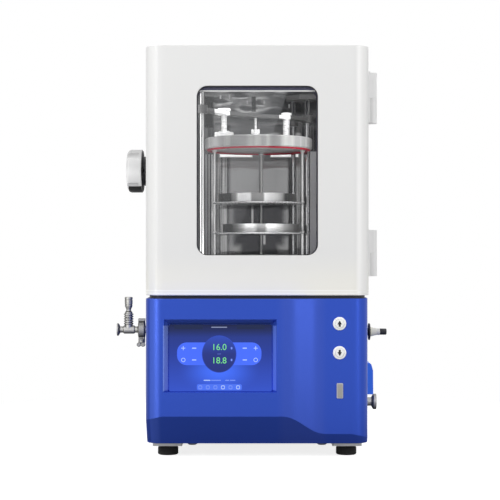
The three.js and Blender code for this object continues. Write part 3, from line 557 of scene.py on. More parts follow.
# ---- Push buttons and port cover ----
# Two 22 mm buttons in white rings, each with a black arrow let into its cap, and below them a
# blanking cover clipped over a service port.
white_plastic = coated("white_plastic", (0.95, 0.95, 0.94), gloss=0.3, bump=0.01, coat=0.2)
ink = coated("arrow_ink", (0.012, 0.012, 0.014), gloss=0.4)
for tag, way in (("up", 1), ("down", -1)):
    low, high, mid = span(tag + "_bezel")
    bezel_ring = turned(tag + "_ring", "Y", (mid.x, low.y, mid.z), [
        (10.0, 0), (13.2, 0), (14.6, 0.7), (15, 1.6), (15, 2.6), (11.1, 2.6), (11.1, 20.5), (0, 20.5),
        (0, 16.6), (10.0, 16.6)], closed=True, soft=0.25)
    fit_out(bezel_ring, white_plastic, "machine", "white_plastic", tag + "_bezel")
    low, high, mid = span(tag + "_button")
    cap = turned(tag + "_cap", "Y", (mid.x, low.y, mid.z), [
        (0, 0.1), (8.9, 0), (9.5, 0.3), (9.7, 0.9), (9.7, 14.2), (0, 14.2)], soft=0.1)
    fit_out(cap, white_plastic, tag + "_key", "white_plastic", tag + "_button")
    clear_selection()
    bpy.ops.mesh.primitive_circle_add(vertices=3, radius=5.8 * MM, fill_type="NGON",
                                      location=(mid.x, low.y - 0.02 * MM, mid.z + way * 1.5 * MM),
                                      rotation=(way * math.pi / 2, 0, 0))
    arrow = bpy.context.object
    arrow.name = arrow.data.name = tag + "_arrow_head"
    bpy.ops.object.transform_apply(location=True, rotation=True, scale=True)
    press(arrow, "SOLIDIFY", thickness=0.3 * MM, offset=0)
    fit_out(arrow, ink, tag + "_key", "black_plastic")
    ends = sorted((mid.z - way * 1.0 * MM, mid.z - way * 6.8 * MM))
    shaft = block(tag + "_arrow_shaft", (mid.x - 2.3 * MM, low.y - 0.17 * MM, ends[0]),
                  (mid.x + 2.3 * MM, low.y + 0.5 * MM, ends[1]), corner=0.3)
    fit_out(shaft, ink, tag + "_key", "black_plastic")

grey_plastic = coated("grey_plastic", (0.52, 0.52, 0.52), gloss=0.42)
port_grey = coated("port_grey", (0.36, 0.35, 0.33), gloss=0.5)
low, high, mid = span("port_cover")
port_frame = block("port_frame", (low.x, low.y + 1.2 * MM, low.z), (high.x, high.y, high.z),
                   corner=2.2, soft=0.3)
fit_out(port_frame, grey_plastic, "machine", "grey_plastic", "port_cover")
port_lid = block("port_lid", (low.x + 2.3 * MM, low.y, low.z + 2.4 * MM),
                 (high.x - 2.3 * MM, high.y - 1.5 * MM, high.z - 2.4 * MM), corner=1.4, soft=0.3)
fit_out(port_lid, port_grey, "machine", "grey_plastic")


# ---- Vent valve on the left ----
# A stainless nozzle, a needle valve with a ridged bonnet and a turned handle, and the cast
# aluminium clamp with its wing nut that draws the two small flanges together.
def build_brushed():
    """Fine parallel scratches: a change of gloss and a shallow relief, along the vector's short axis."""
    group, given, end = start_group(
        "brushed", {"Vector": "Vector", "Gloss": 0.2, "Spread": 0.12},
        {"Roughness": "Float", "Height": "Float"})
    lines = add_node(group, "ShaderNodeTexNoise", {"Vector": given["Vector"], "Scale": 1.0, "Detail": 3.0})
    gloss = reckon(group, "MULTIPLY_ADD", lines.outputs["Fac"], given["Spread"], given["Gloss"])
    feed(group, end, {"Roughness": gloss, "Height": lines.outputs["Fac"]})
    return group

brushed = build_brushed()

def metal(name, colour, gloss=0.16, spread=0.1, stretch=(60, 60, 1400), bump=0.03, metallic=1.0):
    """Bare metal, with its grain short along the axes where stretch is large."""
    look, tree, shader, where = new_look(name)
    pull = add_node(tree, "ShaderNodeMapping", {"Vector": where, "Scale": stretch})
    grain = add_node(tree, "ShaderNodeGroup", {
        "Vector": pull.outputs[0], "Gloss": gloss, "Spread": spread}, node_tree=brushed)
    relief = add_node(tree, "ShaderNodeBump", {
        "Height": grain.outputs["Height"], "Strength": bump, "Distance": 0.0004})
    feed(tree, shader, {
        "Base Color": (*colour, 1), "Metallic": metallic, "Roughness": grain.outputs["Roughness"],
        "Normal": relief.outputs[0]})
    return look

def dark_edged(name, colour, **grain):
    """Turned or cast stock with painted shade: its colour goes dark toward its outline."""
    look = metal(name, colour, metallic=0.35, **grain)
    tree, shader, _ = parts_of(look)
    facing = add_node(tree, "ShaderNodeLayerWeight", {"Blend": 0.80}).outputs["Facing"]
    feed(tree, shader, {"Base Color": mixed(tree, facing, (*colour, 1), (0.015, 0.015, 0.015, 1))})
    return look

valve_steel_x = dark_edged("valve_steel_x", (0.70, 0.69, 0.64), gloss=0.3, stretch=(1500, 60, 60))
valve_steel_z = dark_edged("valve_steel_z", (0.70, 0.69, 0.64), gloss=0.3, stretch=(60, 60, 1500))
valve_cast = dark_edged("valve_cast", (0.46, 0.45, 0.41), gloss=0.4, spread=0.2,
    stretch=(700, 700, 700), bump=0.2)
turned_steel_x = metal("turned_steel_x", (0.52, 0.52, 0.53), gloss=0.2, stretch=(1500, 60, 60))

low, high, mid = span("side_nozzle")
nozzle = turned("nozzle", "X", (low.x, mid.y, mid.z), [
    (5.5, 0), (15, 0), (15, 3), (9, 9), (9, 22), (19, 22), (20, 23), (20, 26), (9, 26), (9, 40),
    (5.5, 40)], closed=True)
fit_out(nozzle, valve_steel_x, "machine", "stainless", "side_nozzle")
low, high, _ = span("valve_body")
valve_axis = Vector((0, mid.y, mid.z))
stem_x = low.x + 27.5 * MM
valve = turned("valve_barrel", "X", (low.x, valve_axis.y, valve_axis.z), [
    (5.5, 0), (15, 0), (15, 3), (11, 6), (7.5, 7), (7.5, 14), (9.4, 16), (10, 17), (10, 40), (9, 42),
    (7.5, 43), (7.5, 48), (9, 50), (15, 56), (15, 59), (5.5, 59)], closed=True)
fit_out(valve, valve_steel_x, "machine", "stainless", "valve_body")
bonnet_base = valve_axis.z + 2 * MM
RIDGE_PITCH = 5.6
ridge_outline = [(3.3, 21), (0, 21), (0, 0), (9.6, 0), (9.6, 10)]
for k in range(5):
    up = RIDGE_PITCH * k
    ridge_outline += [(11.4, 11 + up), (11.4, 13.6 + up), (9, 14.4 + up), (9, 15.9 + up)]
ridge_outline += [(9, 40), (3.3, 40)]
bonnet = turned("valve_bonnet", "Z", (stem_x, valve_axis.y, bonnet_base), ridge_outline, closed=True,
    soft=0.3)
fit_out(bonnet, valve_steel_z, "machine", "stainless")
low, high, _ = span("valve_handle")
handle = turned("valve_grip", "Z", (stem_x, valve_axis.y, low.z), [
    (0, 0), (3, 0), (3, 21.5), (7, 21.5), (7, 23), (5.9, 24.2), (5.6, 27), (7.2, 31), (8.6, 34),
    (9.2, 37.5), (8.6, 38.1), (8.6, 39.3), (9.3, 39.9), (9.4, 49.6), (8.8, 50.2), (8.8, 51.2),
    (9.4, 51.8), (9.4, 56), (8.6, 57), (0, 57)], soft=0.3)
fit_out(handle, valve_steel_z, "valve", "stainless", "valve_handle")
collar = turned("valve_collar", "Z", (stem_x, valve_axis.y, low.z + 21.6 * MM), [
    (6.8, 0.1), (7.8, 0.1), (7.8, 1.3), (6.8, 1.3)], closed=True, soft=0.2)
fit_out(collar, black_rubber, "valve", "stainless")

low, high, mid = span("flange_clamp")
joint_x = mid.x
clamp_parts = [
    turned("clamp_ring", "X", (low.x, valve_axis.y, valve_axis.z), [
        (10.4, 0), (18.5, 0), (20.5, 2), (20.5, 14), (18.5, 16), (10.4, 16), (15.4, 11), (15.4, 5)],
        closed=True, soft=0.4),
    block("clamp_hinge", (joint_x - 8 * MM, valve_axis.y - 9 * MM, valve_axis.z + 19 * MM),
          (joint_x + 8 * MM, valve_axis.y + 9 * MM, high.z), corner=3, along="X", soft=0.4),
    block("clamp_lug_front", (joint_x - 7 * MM, valve_axis.y - 14 * MM, low.z),
          (joint_x + 7 * MM, valve_axis.y - 2 * MM, low.z + 15 * MM), corner=3, along="X", soft=0.4),
    block("clamp_lug_back", (joint_x - 7 * MM, valve_axis.y + 2 * MM, low.z),
          (joint_x + 7 * MM, valve_axis.y + 14 * MM, low.z + 15 * MM), corner=3, along="X", soft=0.4),
    turned("clamp_bolt", "Y", (joint_x, low.y, low.z + 6 * MM), [
        (0, 0), (2.6, 0), (3, 0.6), (3, 40), (0, 40)], steps=32, soft=0.1),
]
for part in clamp_parts:
    fit_out(part, valve_steel_x if part.name == "clamp_bolt" else valve_cast, "machine", "aluminium",
            *(["flange_clamp"] if part is clamp_parts[0] else []))

low, high, mid = span("clamp_nut")
nut_z = high.z - 6 * MM
hub = turned("wing_nut_hub", "Y", (mid.x, low.y, nut_z), [
    (3.3, 0), (5.2, 0), (6, 1), (6, 12.4), (3.3, 12.4)], closed=True, steps=48, soft=0.3)
fit_out(hub, valve_cast, "wing_nut", "aluminium", "clamp_nut")
for tag, side in (("left", -1), ("right", 1)):
    wing = turned(f"wing_{tag}", "Y", (mid.x + side * 4.9 * MM, low.y + 0.4 * MM, nut_z - 8.4 * MM), [
        (0, 0), (4.2, 0), (5.3, 1.1), (5.3, 3.3), (4.2, 4.4), (0, 4.4)], steps=36, soft=0.3)
    fit_out(wing, valve_cast, "wing_nut", "aluminium")


# ---- Drain, pump port and power inlet ----
# The drain is a black moulded fitting with a clear sleeve and a screwed cap. The pump port is a
# stainless tube with an open flange, low on the right. The mains inlet is at the back.
clear_sleeve = coated("clear_sleeve", (0.86, 0.85, 0.76), gloss=0.5, bump=0.0, specular=0.1)
low, high, mid = span("drain_body")
drain = turned("drain_fitting", "X", (low.x, mid.y, mid.z), [
    (0, 0), (12, 0), (12, 2.4), (9.4, 4.4), (9, 17.3), (19.2, 17.3), (20.4, 18.3), (20.4, 20.4),
    (19.2, 21.4), (0, 21.4)])
fit_out(drain, black_plastic, "machine", "black_plastic", "drain_body")
sleeve = turned("drain_sleeve", "X", (low.x + 21.5 * MM, mid.y, mid.z), [
    (0, 0), (11.6, 0), (11.4, 3), (9.6, 9), (8.3, 15), (7.9, 16), (8.1, 23.5), (5, 23.5), (5, 32.5),
    (0, 32.5)])
fit_out(sleeve, clear_sleeve, "machine", "black_plastic")
low, high, mid = span("drain_cap")
drain_cap = turned("drain_screw_cap", "X", (low.x, mid.y, mid.z), [
    (5.3, 0), (7, 0), (7.6, 1), (7.6, 5.4), (7.1, 5.9), (7.6, 6.4), (7.6, 13.4), (6.9, 15), (5.6, 15.7),
    (0, 15.7), (0, 9), (5.3, 9)], closed=True, soft=0.3)
fit_out(drain_cap, black_plastic, "cap", "black_plastic", "drain_cap")
low, high, mid = span("pump_port")
port = turned("vacuum_port", "X", (low.x, mid.y, mid.z), [
    (8, 0), (11, 0), (11, 14), (23, 14), (24, 15), (24, 18), (11, 18), (11, 60), (18.6, 64), (20, 66),
    (20, 72.6), (8, 72.6)], closed=True)
fit_out(port, valve_steel_x, "machine", "stainless", "pump_port")
inlet = from_node("power_inlet", "mains_inlet", width=0.6)
fit_out(inlet, black_plastic, "machine", "black_plastic", "power_inlet")
low, high, mid = span("power_inlet")
for k, across in enumerate((-7, 0, 7)):
    x = mid.x + across * MM
    z = mid.z + (3 * MM if k == 1 else 0)
    blade = block(f"mains_pin_{k}", (x - 1 * MM, low.y + 3 * MM, z - 2 * MM),
                  (x + 1 * MM, low.y + 12 * MM, z + 2 * MM), soft=0.2)
    fit_out(blade, turned_steel_x, "machine", "stainless")


# ---- Cabinet body ----
# A white sprayed steel case with a bent stainless liner inside. The liner is polished like a mirror
# and a little wavy, most of all near the top. Its colour carries painted reflections and shade:
# upright streaks, darker fields, thin bright glints and two glowing strips across the back.
white_enamel = coated("white_enamel", (0.80, 0.80, 0.795), gloss=0.4, variation=0.012, coat=0.12)
case = from_node("cabinet_shell", "cabinet_case", width=0.8, segments=3)
fit_out(case, white_enamel, "machine", "white_enamel", "cabinet_shell")

def drawn_noise(tree, vector, stretch, detail):
    """Noise that is short along the axes where stretch is large."""
    pull = add_node(tree, "ShaderNodeMapping", {"Vector": vector, "Scale": stretch})
    return add_node(tree, "ShaderNodeTexNoise", {
        "Vector": pull.outputs[0], "Scale": 1.0, "Detail": detail}).outputs["Fac"]

REFLECTION_STRIP_Z = 0.7175
liner_steel = metal("liner_steel", (0.3, 0.3, 0.305), gloss=0.05, spread=0.06, stretch=(300, 300, 12),
    bump=0.01)
tree, shader, where = parts_of(liner_steel)
wave = drawn_noise(tree, where, (7, 7, 24), 2.0)
high_mask = patch(liner_steel, (0.01, 0, 0.9165), (0.3, 1, 0.09), 0.05)
dark_reflection_mask = patch(liner_steel, (0.018, 0, 0.5065), (0.056, 1, 0.075), 0.026)
side_mask = reckon(tree, "SUBTRACT", 1.0, patch(liner_steel, (0.020, 0, 0.6), (0.072, 1, 0.6), 0.012))
# Painted reflections: two glowing strips across the back wall.
reflection_strip_mask = reckon(tree, "MAXIMUM", patch(liner_steel, (-0.041, 0, REFLECTION_STRIP_Z), (0.040, 1, 0.0010), 0.005),
                     patch(liner_steel, (0.0864, 0, REFLECTION_STRIP_Z), (0.034, 1, 0.0010), 0.005))
fine_relief = shader.inputs["Normal"].links[0].from_socket
broad_relief = add_node(tree, "ShaderNodeBump", {
    "Height": wave, "Strength": reckon(tree, "MULTIPLY_ADD", high_mask, 0.5, 0.045), "Distance": 0.02,
    "Normal": fine_relief})
# Painted reflections: upright streaks on the walls, ripples near the top and a dark field low down.
streak_reflections = ramp(tree, drawn_noise(tree, where, (115, 115, 1.1), 1.0), [
    (0.36, (0.07, 0.07, 0.075)), (0.46, (0.15, 0.15, 0.155)), (0.53, (0.30, 0.30, 0.30)),
    (0.60, (0.46, 0.46, 0.46)), (0.66, (0.12, 0.12, 0.125))])
ripple_reflections = ramp(tree, wave, [
    (0.36, (0.05, 0.05, 0.055)), (0.44, (0.23, 0.23, 0.235)), (0.52, (0.45, 0.45, 0.45)),
    (0.57, (0.60, 0.60, 0.60)), (0.63, (0.11, 0.11, 0.115))], "EASE")
painted_reflections = mixed(tree, side_mask, (0.32, 0.32, 0.325, 1), streak_reflections)
painted_reflections = mixed(tree, high_mask, painted_reflections, ripple_reflections)
painted_reflections = mixed(tree, dark_reflection_mask, painted_reflections, (0.045, 0.045, 0.05, 1))
feed(tree, shader, {
    "Base Color": mixed(tree, reflection_strip_mask, painted_reflections, WHITE),
    "Metallic": reckon(tree, "MULTIPLY_ADD", reflection_strip_mask, -0.62, 0.62),
    "Emission Color": mixed(tree, reflection_strip_mask, (0, 0, 0, 1), WHITE),
    "Emission Strength": 0.45, "Normal": broad_relief.outputs[0]})
# Painted light patches, glints and dark fields, for what the steel reflects and for shade.
tint_patches(liner_steel, (
    (0.92, (0.1655, 0, 0.585), (0.0105, 1, 0.142), 0.0025),
    (1.00, (-0.1044, 0, 0.55), (0.0015, 1, 0.17), 0.0014),
    (0.90, (-0.1202, 0, 0.55), (0.0010, 1, 0.17), 0.0014),
    (0.90, (-0.1123, 0, 0.55), (0.0010, 1, 0.17), 0.0014),
    (0.02, (-0.1135, 0, 0.832), (0.0095, 1, 0.038), 0.006),
    (0.02, (0.1180, 0, 0.852), (0.0110, 1, 0.018), 0.008),
    (0.05, (0.0055, 0, 0.853), (0.0035, 1, 0.018), 0.004),
    (0.42, (0.0020, 0, 0.561), (0.0020, 1, 0.024), 0.0012),
    (0.46, (0.0335, 0, 0.4956), (0.0024, 1, 0.012), 0.0012),
    (0.30, (-0.0440, 0, 0.4690), (0.004, 1, 0.0010), 0.020),
    (0.30, (0.0840, 0, 0.4690), (0.004, 1, 0.0010), 0.020),
    (1.00, (-0.0823, 0, 0.8724), (0.0010, 1, 0.0040), 0.002),
    (1.00, (-0.0583, 0, 0.8732), (0.0010, 1, 0.0045), 0.002),
    (1.00, (-0.0115, 0, 0.8579), (0.0008, 1, 0.0030), 0.002),
    (1.00, (0.0332, 0, 0.8579), (0.0010, 1, 0.0042), 0.002),
    (1.00, (0.0990, 0, 0.8479), (0.0010, 1, 0.0042), 0.002)))
liner = from_node("cabinet_liner", "cabinet_liner_sheet", width=0.5)
fit_out(liner, liner_steel, "machine", "stainless", "cabinet_liner")


# ---- Door ----
# The whole front is one white moulded door, with painted highlights down its rounded sides and
# painted light low down. Its window is glass clipped behind a black lip, with a faint painted
# reflection on the pane, a white trim and a navy strip of painted shade across its head. A dark
# sheet closes the back of the door, and a hollow rubber strip seals it to the cabinet.
door_enamel = coated("door_enamel", (0.80, 0.80, 0.795), gloss=0.4, variation=0.012, coat=0.12)
# Painted light: a lighter band low on the door, highlights down both rounded sides and two light lines
# along the bottom lip.
tint_patches(door_enamel, (
    ((0.87, 0.86, 0.81), (0.012, 0, 0.33), (0.27, 1, 0.05), 0.09),
    ((0.87, 0.87, 0.86), (-0.2250, 0, 0.6), (0.004, 1, 0.4), 0.008),
    ((0.99, 0.99, 0.98), (0.2480, 0, 0.6), (0.0060, 1, 0.4), 0.012),
    ((0.97, 0.97, 0.94), (0, 0, 0.3775), (0.4, 1, 0.0006), 0.0016),
    ((0.97, 0.97, 0.94), (0, 0, 0.3712), (0.4, 1, 0.0010), 0.0016)))
door_skin = from_node("door_shell", "door_skin", width=1.3, segments=3)
fit_out(door_skin, door_enamel, "door", "white_enamel", "door_shell")
door_dark = coated("door_dark", (0.013, 0.013, 0.032), gloss=0.6, specular=0.15)
door_back = from_node("door_liner", "door_back_sheet", width=0.4)
fit_out(door_back, door_dark, "door", "dark_enamel", "door_liner")
seal_strip = from_node("door_gasket", "door_seal_strip", width=1.2)
fit_out(seal_strip, black_rubber, "door", "black_rubber", "door_gasket")

glass_low, glass_high, _ = span("window_glass")
window_look = coated("window_look", (0.8, 0.82, 0.84), gloss=0.04, variation=0.0, bump=0.0)
tree, shader, where = parts_of(window_look)
# Painted reflection: left of a slanting line the pane grows a little more opaque, rising upward and
# stopping under the head.
slant = add_node(tree, "ShaderNodeVectorMath", {0: where, 1: (-0.943, 0, 0.333)}, operation="DOT_PRODUCT")
sheen = mapped(tree, slant.outputs["Value"], 0.1966, 0.1996, eased=True)
rising = mapped(tree, height_of(tree, where), 0.58, 0.74, 0.02, 0.045, eased=True)
below_head = mapped(tree, height_of(tree, where), 0.8274, 0.8262)
sheen_depth = reckon(tree, "MULTIPLY", rising, below_head)
feed(tree, shader, {"Alpha": reckon(tree, "MULTIPLY_ADD", sheen, sheen_depth, 0.012)})
glass = from_node("window_glass", "window_pane", width=0.3)
fit_out(glass, window_look, "door", "window", "window_glass")

def sleeve(name, low, high, corner, thickness):
    """A rounded rectangular tube that runs along Y, its wall grown inward."""
    piece = block(name, low, high, corner=corner, segments=8)
    bpy.ops.object.mode_set(mode="EDIT")
    bpy.ops.mesh.select_mode(type="FACE")
    bpy.ops.mesh.select_all(action="DESELECT")
    mesh = bmesh.from_edit_mesh(piece.data)
    for face in mesh.faces:
        face.select_set(abs(face.normal.y) > 0.9)
    bmesh.update_edit_mesh(piece.data)
    bpy.ops.mesh.delete(type="FACE")
    bpy.ops.mesh.select_mode(type="VERT")
    bpy.ops.object.mode_set(mode="OBJECT")
    press(piece, "SOLIDIFY", thickness=thickness * MM, offset=-1, use_even_offset=True)
    smooth(piece)
    return piece

lip_low = (glass_low.x + 12.1 * MM, glass_low.y - 2.6 * MM, glass_low.z + 12.1 * MM)
lip_high = (glass_high.x - 12.1 * MM, glass_low.y - 0.05 * MM, glass_high.z - 12.1 * MM)
lip = sleeve("window_lip", lip_low, lip_high, 23.9, 1.4)
fit_out(lip, black_rubber, "door", "black_rubber")
# The navy strip is painted shade, standing for the shaded head of the window opening.
painted_head_shade = coated("painted_head_shade", (0.085, 0.085, 0.14), gloss=0.6, variation=0.1, specular=0.2)
for name, bottom, top, look, slot in (("window_top_trim", 0.8237, 0.8265, door_enamel, "white_enamel"),
                                      ("window_head_strip", 0.8266, 0.8335, painted_head_shade, "dark_enamel")):
    strip = block(name, (lip_low[0] + 5.6 * MM, glass_high.y + 0.3 * MM, bottom),
                  (lip_high[0] - 5.6 * MM, glass_high.y + 2.3 * MM, top), soft=0.3)
    fit_out(strip, look, "door", slot)


# ---- Hinges and latch ----
# Two cast hinges with a steel pin each, on the right. On the left a wide moulded knob with four
# finger scallops turns a slotted disc that draws in the pin of the door's striker.
hinge_enamel = coated("hinge_enamel", (0.90, 0.90, 0.90), gloss=0.4, specular=0.3)
for node in ("hinge_upper_body", "hinge_upper_door", "hinge_lower_body", "hinge_lower_door"):
    leaf = from_node(node, node + "_leaf", width=0.7)
    fit_out(leaf, hinge_enamel, "door" if node.endswith("door") else "machine", "grey_enamel", node)
spindle = from_node("latch_spindle", "latch_axle", width=0.3)
fit_out(spindle, black_plastic, "machine", "black_plastic", "latch_spindle")
disc = from_node("latch_cam", "latch_disc", width=0.4)
fit_out(disc, black_plastic, "latch", "black_plastic", "latch_cam")
striker = from_node("latch_striker", "latch_pin_plate", width=0.3)
fit_out(striker, black_plastic, "door", "black_plastic", "latch_striker")
low, high, mid = span("latch_knob")
grip = turned("latch_grip", "X", (low.x, mid.y, mid.z), [
    (0, 0), (30, 0.6), (43, 2.5), (48, 6), (50, 11), (50, 35.6), (49, 36.6), (31, 36.8), (31, 38),
    (4.4, 38), (4.4, 15.7), (0, 15.7)], steps=120, soft=0)

def bore(piece, radius, depth, location, rotation=(0, 0, 0)):
    """Takes a round cut out of a piece; radius and depth are in millimetres."""
    clear_selection()
    bpy.ops.mesh.primitive_cylinder_add(vertices=64, radius=radius * MM, depth=depth * MM,
                                        location=location, rotation=rotation)
    cutter = bpy.context.object
    press(piece, "BOOLEAN", operation="DIFFERENCE", object=cutter, solver="EXACT")
    bpy.data.objects.remove(cutter)

SCALLOP_AT = 61 * MM
for k in range(4):
    turn = math.radians(90 * k + 50)
    bore(grip, 17, 39, rotation=(0, math.pi / 2, 0), location=(
        low.x + 10.5 * MM, mid.y + SCALLOP_AT * math.cos(turn), mid.z + SCALLOP_AT * math.sin(turn)))
smooth(grip)
round_edges(grip, 0.9, 3, 38)
knob_grey = coated("knob_grey", (0.76, 0.76, 0.76), gloss=0.46, specular=0.25)
# Painted light and shade: a lighter band below the knob's middle, a darker one near its top and a dark line
# under it.
tint_patches(knob_grey, (
    (0.99, (low.x + 0.021, 0, mid.z - 0.022), (0.05, 1, 0.012), 0.024),
    (0.52, (low.x + 0.021, 0, mid.z + 0.046), (0.05, 1, 0.008), 0.016),
    (0.02, (low.x + 0.021, 0, mid.z - 0.0437), (0.015, 1, 0.0066), 0.0012)))
fit_out(grip, knob_grey, "latch", "grey_plastic", "latch_knob")
back_plate = turned("latch_back_plate", "X", (low.x + 36.85 * MM, mid.y, mid.z), [
    (31.2, 0), (47, 0), (47.3, 0.3), (47.3, 1.1), (31.2, 1.1)], closed=True, steps=96, soft=0)
fit_out(back_plate, black_plastic, "latch", "black_plastic")
cap_disc = turned("latch_grip_cap", "X", (low.x - 0.2 * MM, mid.y, mid.z), [
    (0, 0), (11.6, 0), (12, 0.4), (12, 1.2), (0, 1.2)], soft=0)
fit_out(cap_disc, grey_plastic, "latch", "grey_plastic")


# ---- Guide columns and lead screw ----
# Two polished columns stand on the cabinet floor and are held at the top by dark steel brackets on
# the side walls. The lead screw is a five start thread, turned by the motor under the floor.
mirror_steel = metal("mirror_steel", (0.72, 0.72, 0.73), gloss=0.05, spread=0.08,
    stretch=(40, 40, 900), bump=0.01)
satin_steel = metal("satin_steel", (0.60, 0.60, 0.61), gloss=0.2, spread=0.14, stretch=(900, 40, 900),
    metallic=0.6)
rod_steel = metal("rod_steel", (0.60, 0.60, 0.60), gloss=0.14, stretch=(60, 60, 900), bump=0.01,
    metallic=0.4)
arm_steel = coated("arm_steel", (0.10, 0.10, 0.10), gloss=0.3, variation=0.2, metallic=0.25)
tint_patches(arm_steel, (
    (0.92, (-0.0735, 0, 0.8), (0.0140, 1, 0.02), 0.0012),
    (0.92, (0.0812, 0, 0.8), (0.0125, 1, 0.02), 0.0012)))

def spun(name, centre, stops):
    """Steel with painted reflections: light and dark bands round the wall; the stops run once round from
    the left.
    """
    look = metal(name, (0.6, 0.6, 0.6), gloss=0.3, spread=0.14, stretch=(30, 30, 1800), metallic=0.2)
    tree, shader, where = parts_of(look)
    moved = add_node(tree, "ShaderNodeMapping", {"Vector": where, "Location": (-centre.x, -centre.y, 0)})
    round_it = add_node(tree, "ShaderNodeTexGradient", {"Vector": moved.outputs[0]}, gradient_type="RADIAL")
    bands = ramp(tree, round_it.outputs["Fac"], [(at, (tone, tone, tone)) for at, tone in stops])
    feed(tree, shader, {"Base Color": bands})
    return look

def plate(name, outline, low, high):
    """A flat plate cut to an outline of (x, y) corners, between two heights, all in metres."""
    piece = start_point(name)
    bpy.ops.transform.translate(value=(*outline[0], low))
    for here, there in zip(outline, [*outline[1:], outline[0]]):
        draw_on((there[0] - here[0], there[1] - here[1], 0))
    bpy.ops.mesh.select_all(action="SELECT")
    bpy.ops.mesh.remove_doubles(threshold=0.02 * MM)
    bpy.ops.mesh.edge_face_add()
    draw_on((0, 0, high - low))
    bpy.ops.mesh.select_all(action="SELECT")
    bpy.ops.mesh.normals_make_consistent(inside=False)
    bpy.ops.object.mode_set(mode="OBJECT")
    smooth(piece)
    return piece

COLUMN_LEFT, COLUMN_RIGHT = (-0.1175, -0.123), (0.140, 0.110)
SCREW_AT = (0.106, 0.137)
BRACKET = (0.8475, 0.8595)
# Painted highlights: two light bands down the front of the left column, split by a dark line.
painted_split_highlight = spun("split_shine_steel", Vector((*COLUMN_LEFT, 0)), [
    (0.0, 0.02), (0.165, 0.02), (0.175, 0.62), (0.226, 0.62), (0.236, 0.01), (0.288, 0.01),
    (0.298, 0.80), (0.350, 0.80), (0.362, 0.03), (0.6, 0.2), (1.0, 0.02)])
for tag, (x, y) in (("left", COLUMN_LEFT), ("right", COLUMN_RIGHT)):
    column = turned(f"guide_rod_{tag}", "Z", (x, y, 0.3705), [
        (0, 0), (11.4, 0), (12, 0.6), (12, 5.2), (11, 6), (7, 6), (7, 476.9), (0, 476.9)], steps=96,
        soft=0.2)
    fit_out(column, painted_split_highlight if tag == "left" else mirror_steel, "machine", "stainless",
            f"guide_column_{tag}")
bracket_left = block("bracket_left", (-0.2009, COLUMN_LEFT[1] - 0.014, BRACKET[0]),
                     (COLUMN_LEFT[0] + 0.014, COLUMN_LEFT[1] + 0.014, BRACKET[1]), corner=3, along="Z",
                     soft=0.5)
fit_out(bracket_left, arm_steel, "machine", "stainless")
(cx, cy), (sx, sy) = COLUMN_RIGHT, SCREW_AT
bracket_right = plate("bracket_right", [
    (cx - 0.020, cy - 0.015), (0.2249, cy - 0.015), (0.2249, cy + 0.015), (cx + 0.024, cy + 0.017),
    (sx + 0.022, sy + 0.016), (sx - 0.018, sy + 0.016), (sx - 0.018, sy - 0.016)], *BRACKET)
bore(bracket_right, 6.3, 40, (*SCREW_AT, 0.8535))
round_edges(bracket_right, 0.4, 2, 40)
fit_out(bracket_right, arm_steel, "machine", "stainless")

STARTS = 5
LEAD = 0.020
thread = start_point("lead_thread")
bpy.ops.transform.translate(value=(4.9 * MM, 0, 0))
for out, up in ((0, 0.9), (1.1, 0.5), (0, 1.2), (-1.1, 0.5), (0, 0.9)) * STARTS:
    draw_on((out * MM, 0, up * MM))
bpy.ops.object.mode_set(mode="OBJECT")
press(thread, "SCREW", axis="Z", angle=2 * math.pi, screw_offset=LEAD, iterations=25, steps=32,
      render_steps=32, use_merge_vertices=True, merge_threshold=0.01 * MM)
bpy.ops.object.mode_set(mode="EDIT")
weld(0.01)
for height, way in ((0.022, -1), (0.492, 1)):
    bpy.ops.mesh.select_all(action="SELECT")
    bpy.ops.mesh.bisect(plane_co=(0, 0, height), plane_no=(0, 0, way), clear_outer=True)
bpy.ops.object.mode_set(mode="OBJECT")
thread.location = (*SCREW_AT, 0.3625)
bpy.ops.object.transform_apply(location=True, rotation=True, scale=True)
smooth(thread, 25)
fit_out(thread, mirror_steel, "screw", "stainless")
screw_rod = turned("lead_screw_core", "Z", (*SCREW_AT, 0.3558), [
    (0, 0), (6, 0), (6, 15), (7, 15), (7, 26.7), (5.2, 26.7), (5.2, 498), (4.6, 500.7), (0, 500.7)],
    soft=0.2)
fit_out(screw_rod, mirror_steel, "screw", "stainless", "lift_screw")


# ---- Lift bridge, posts and lid ----
# Flat steel arms join the two columns and the nut, and three posts hang the lid from them. The
# lid is thick frosted acrylic with a red rubber ring let into its face.
LID_AT, FITTING_AT = (0.0165, 0.027), (0.009, 0.027)
POST_LEFT, POST_RIGHT = (-0.067, -0.040), (0.086, 0.060)
bridge = from_node("lift_bridge", "lift_arms", width=0.5)
fit_out(bridge, arm_steel, "lift", "stainless", "lift_bridge")
post_steel = metal("post_steel", (0.92, 0.92, 0.92), gloss=0.22, spread=0.12, stretch=(60, 60, 700),
    metallic=0.35)
LID_TOP = 0.7415
left_post = turned("post_left", "Z", (*POST_LEFT, LID_TOP), [
    (0, 0), (23, 0), (23, 9.4), (21.8, 10.2), (14, 10.4), (13, 13), (6.6, 13.6), (6.6, 51.9),
    (4.7, 51.9), (4.7, 65.9), (0, 65.9)])
fit_out(left_post, post_steel, "lift", "stainless", "left_post")
right_post = turned("post_right", "Z", (*POST_RIGHT, LID_TOP), [
    (0, 0), (13.6, 0), (13.6, 3.6), (12.6, 4.4), (8.4, 4.6), (8.4, 20), (7.6, 20.6), (7.6, 21.6),
    (8.4, 22.2), (8.4, 51.9), (4.7, 51.9), (4.7, 65.9), (0, 65.9)])
fit_out(right_post, post_steel, "lift", "stainless", "right_post")
middle_post = turned("post_middle", "Z", (*FITTING_AT, LID_TOP), [
    (0, 0), (12, 0), (12, 2.6), (11, 3.6), (6, 4.4), (5.6, 8), (7, 9), (7, 14), (5, 15.4), (5, 22),
    (3, 24), (3, 51.9), (0, 51.9)])
fit_out(middle_post, post_steel, "lift", "stainless", "centre_post")
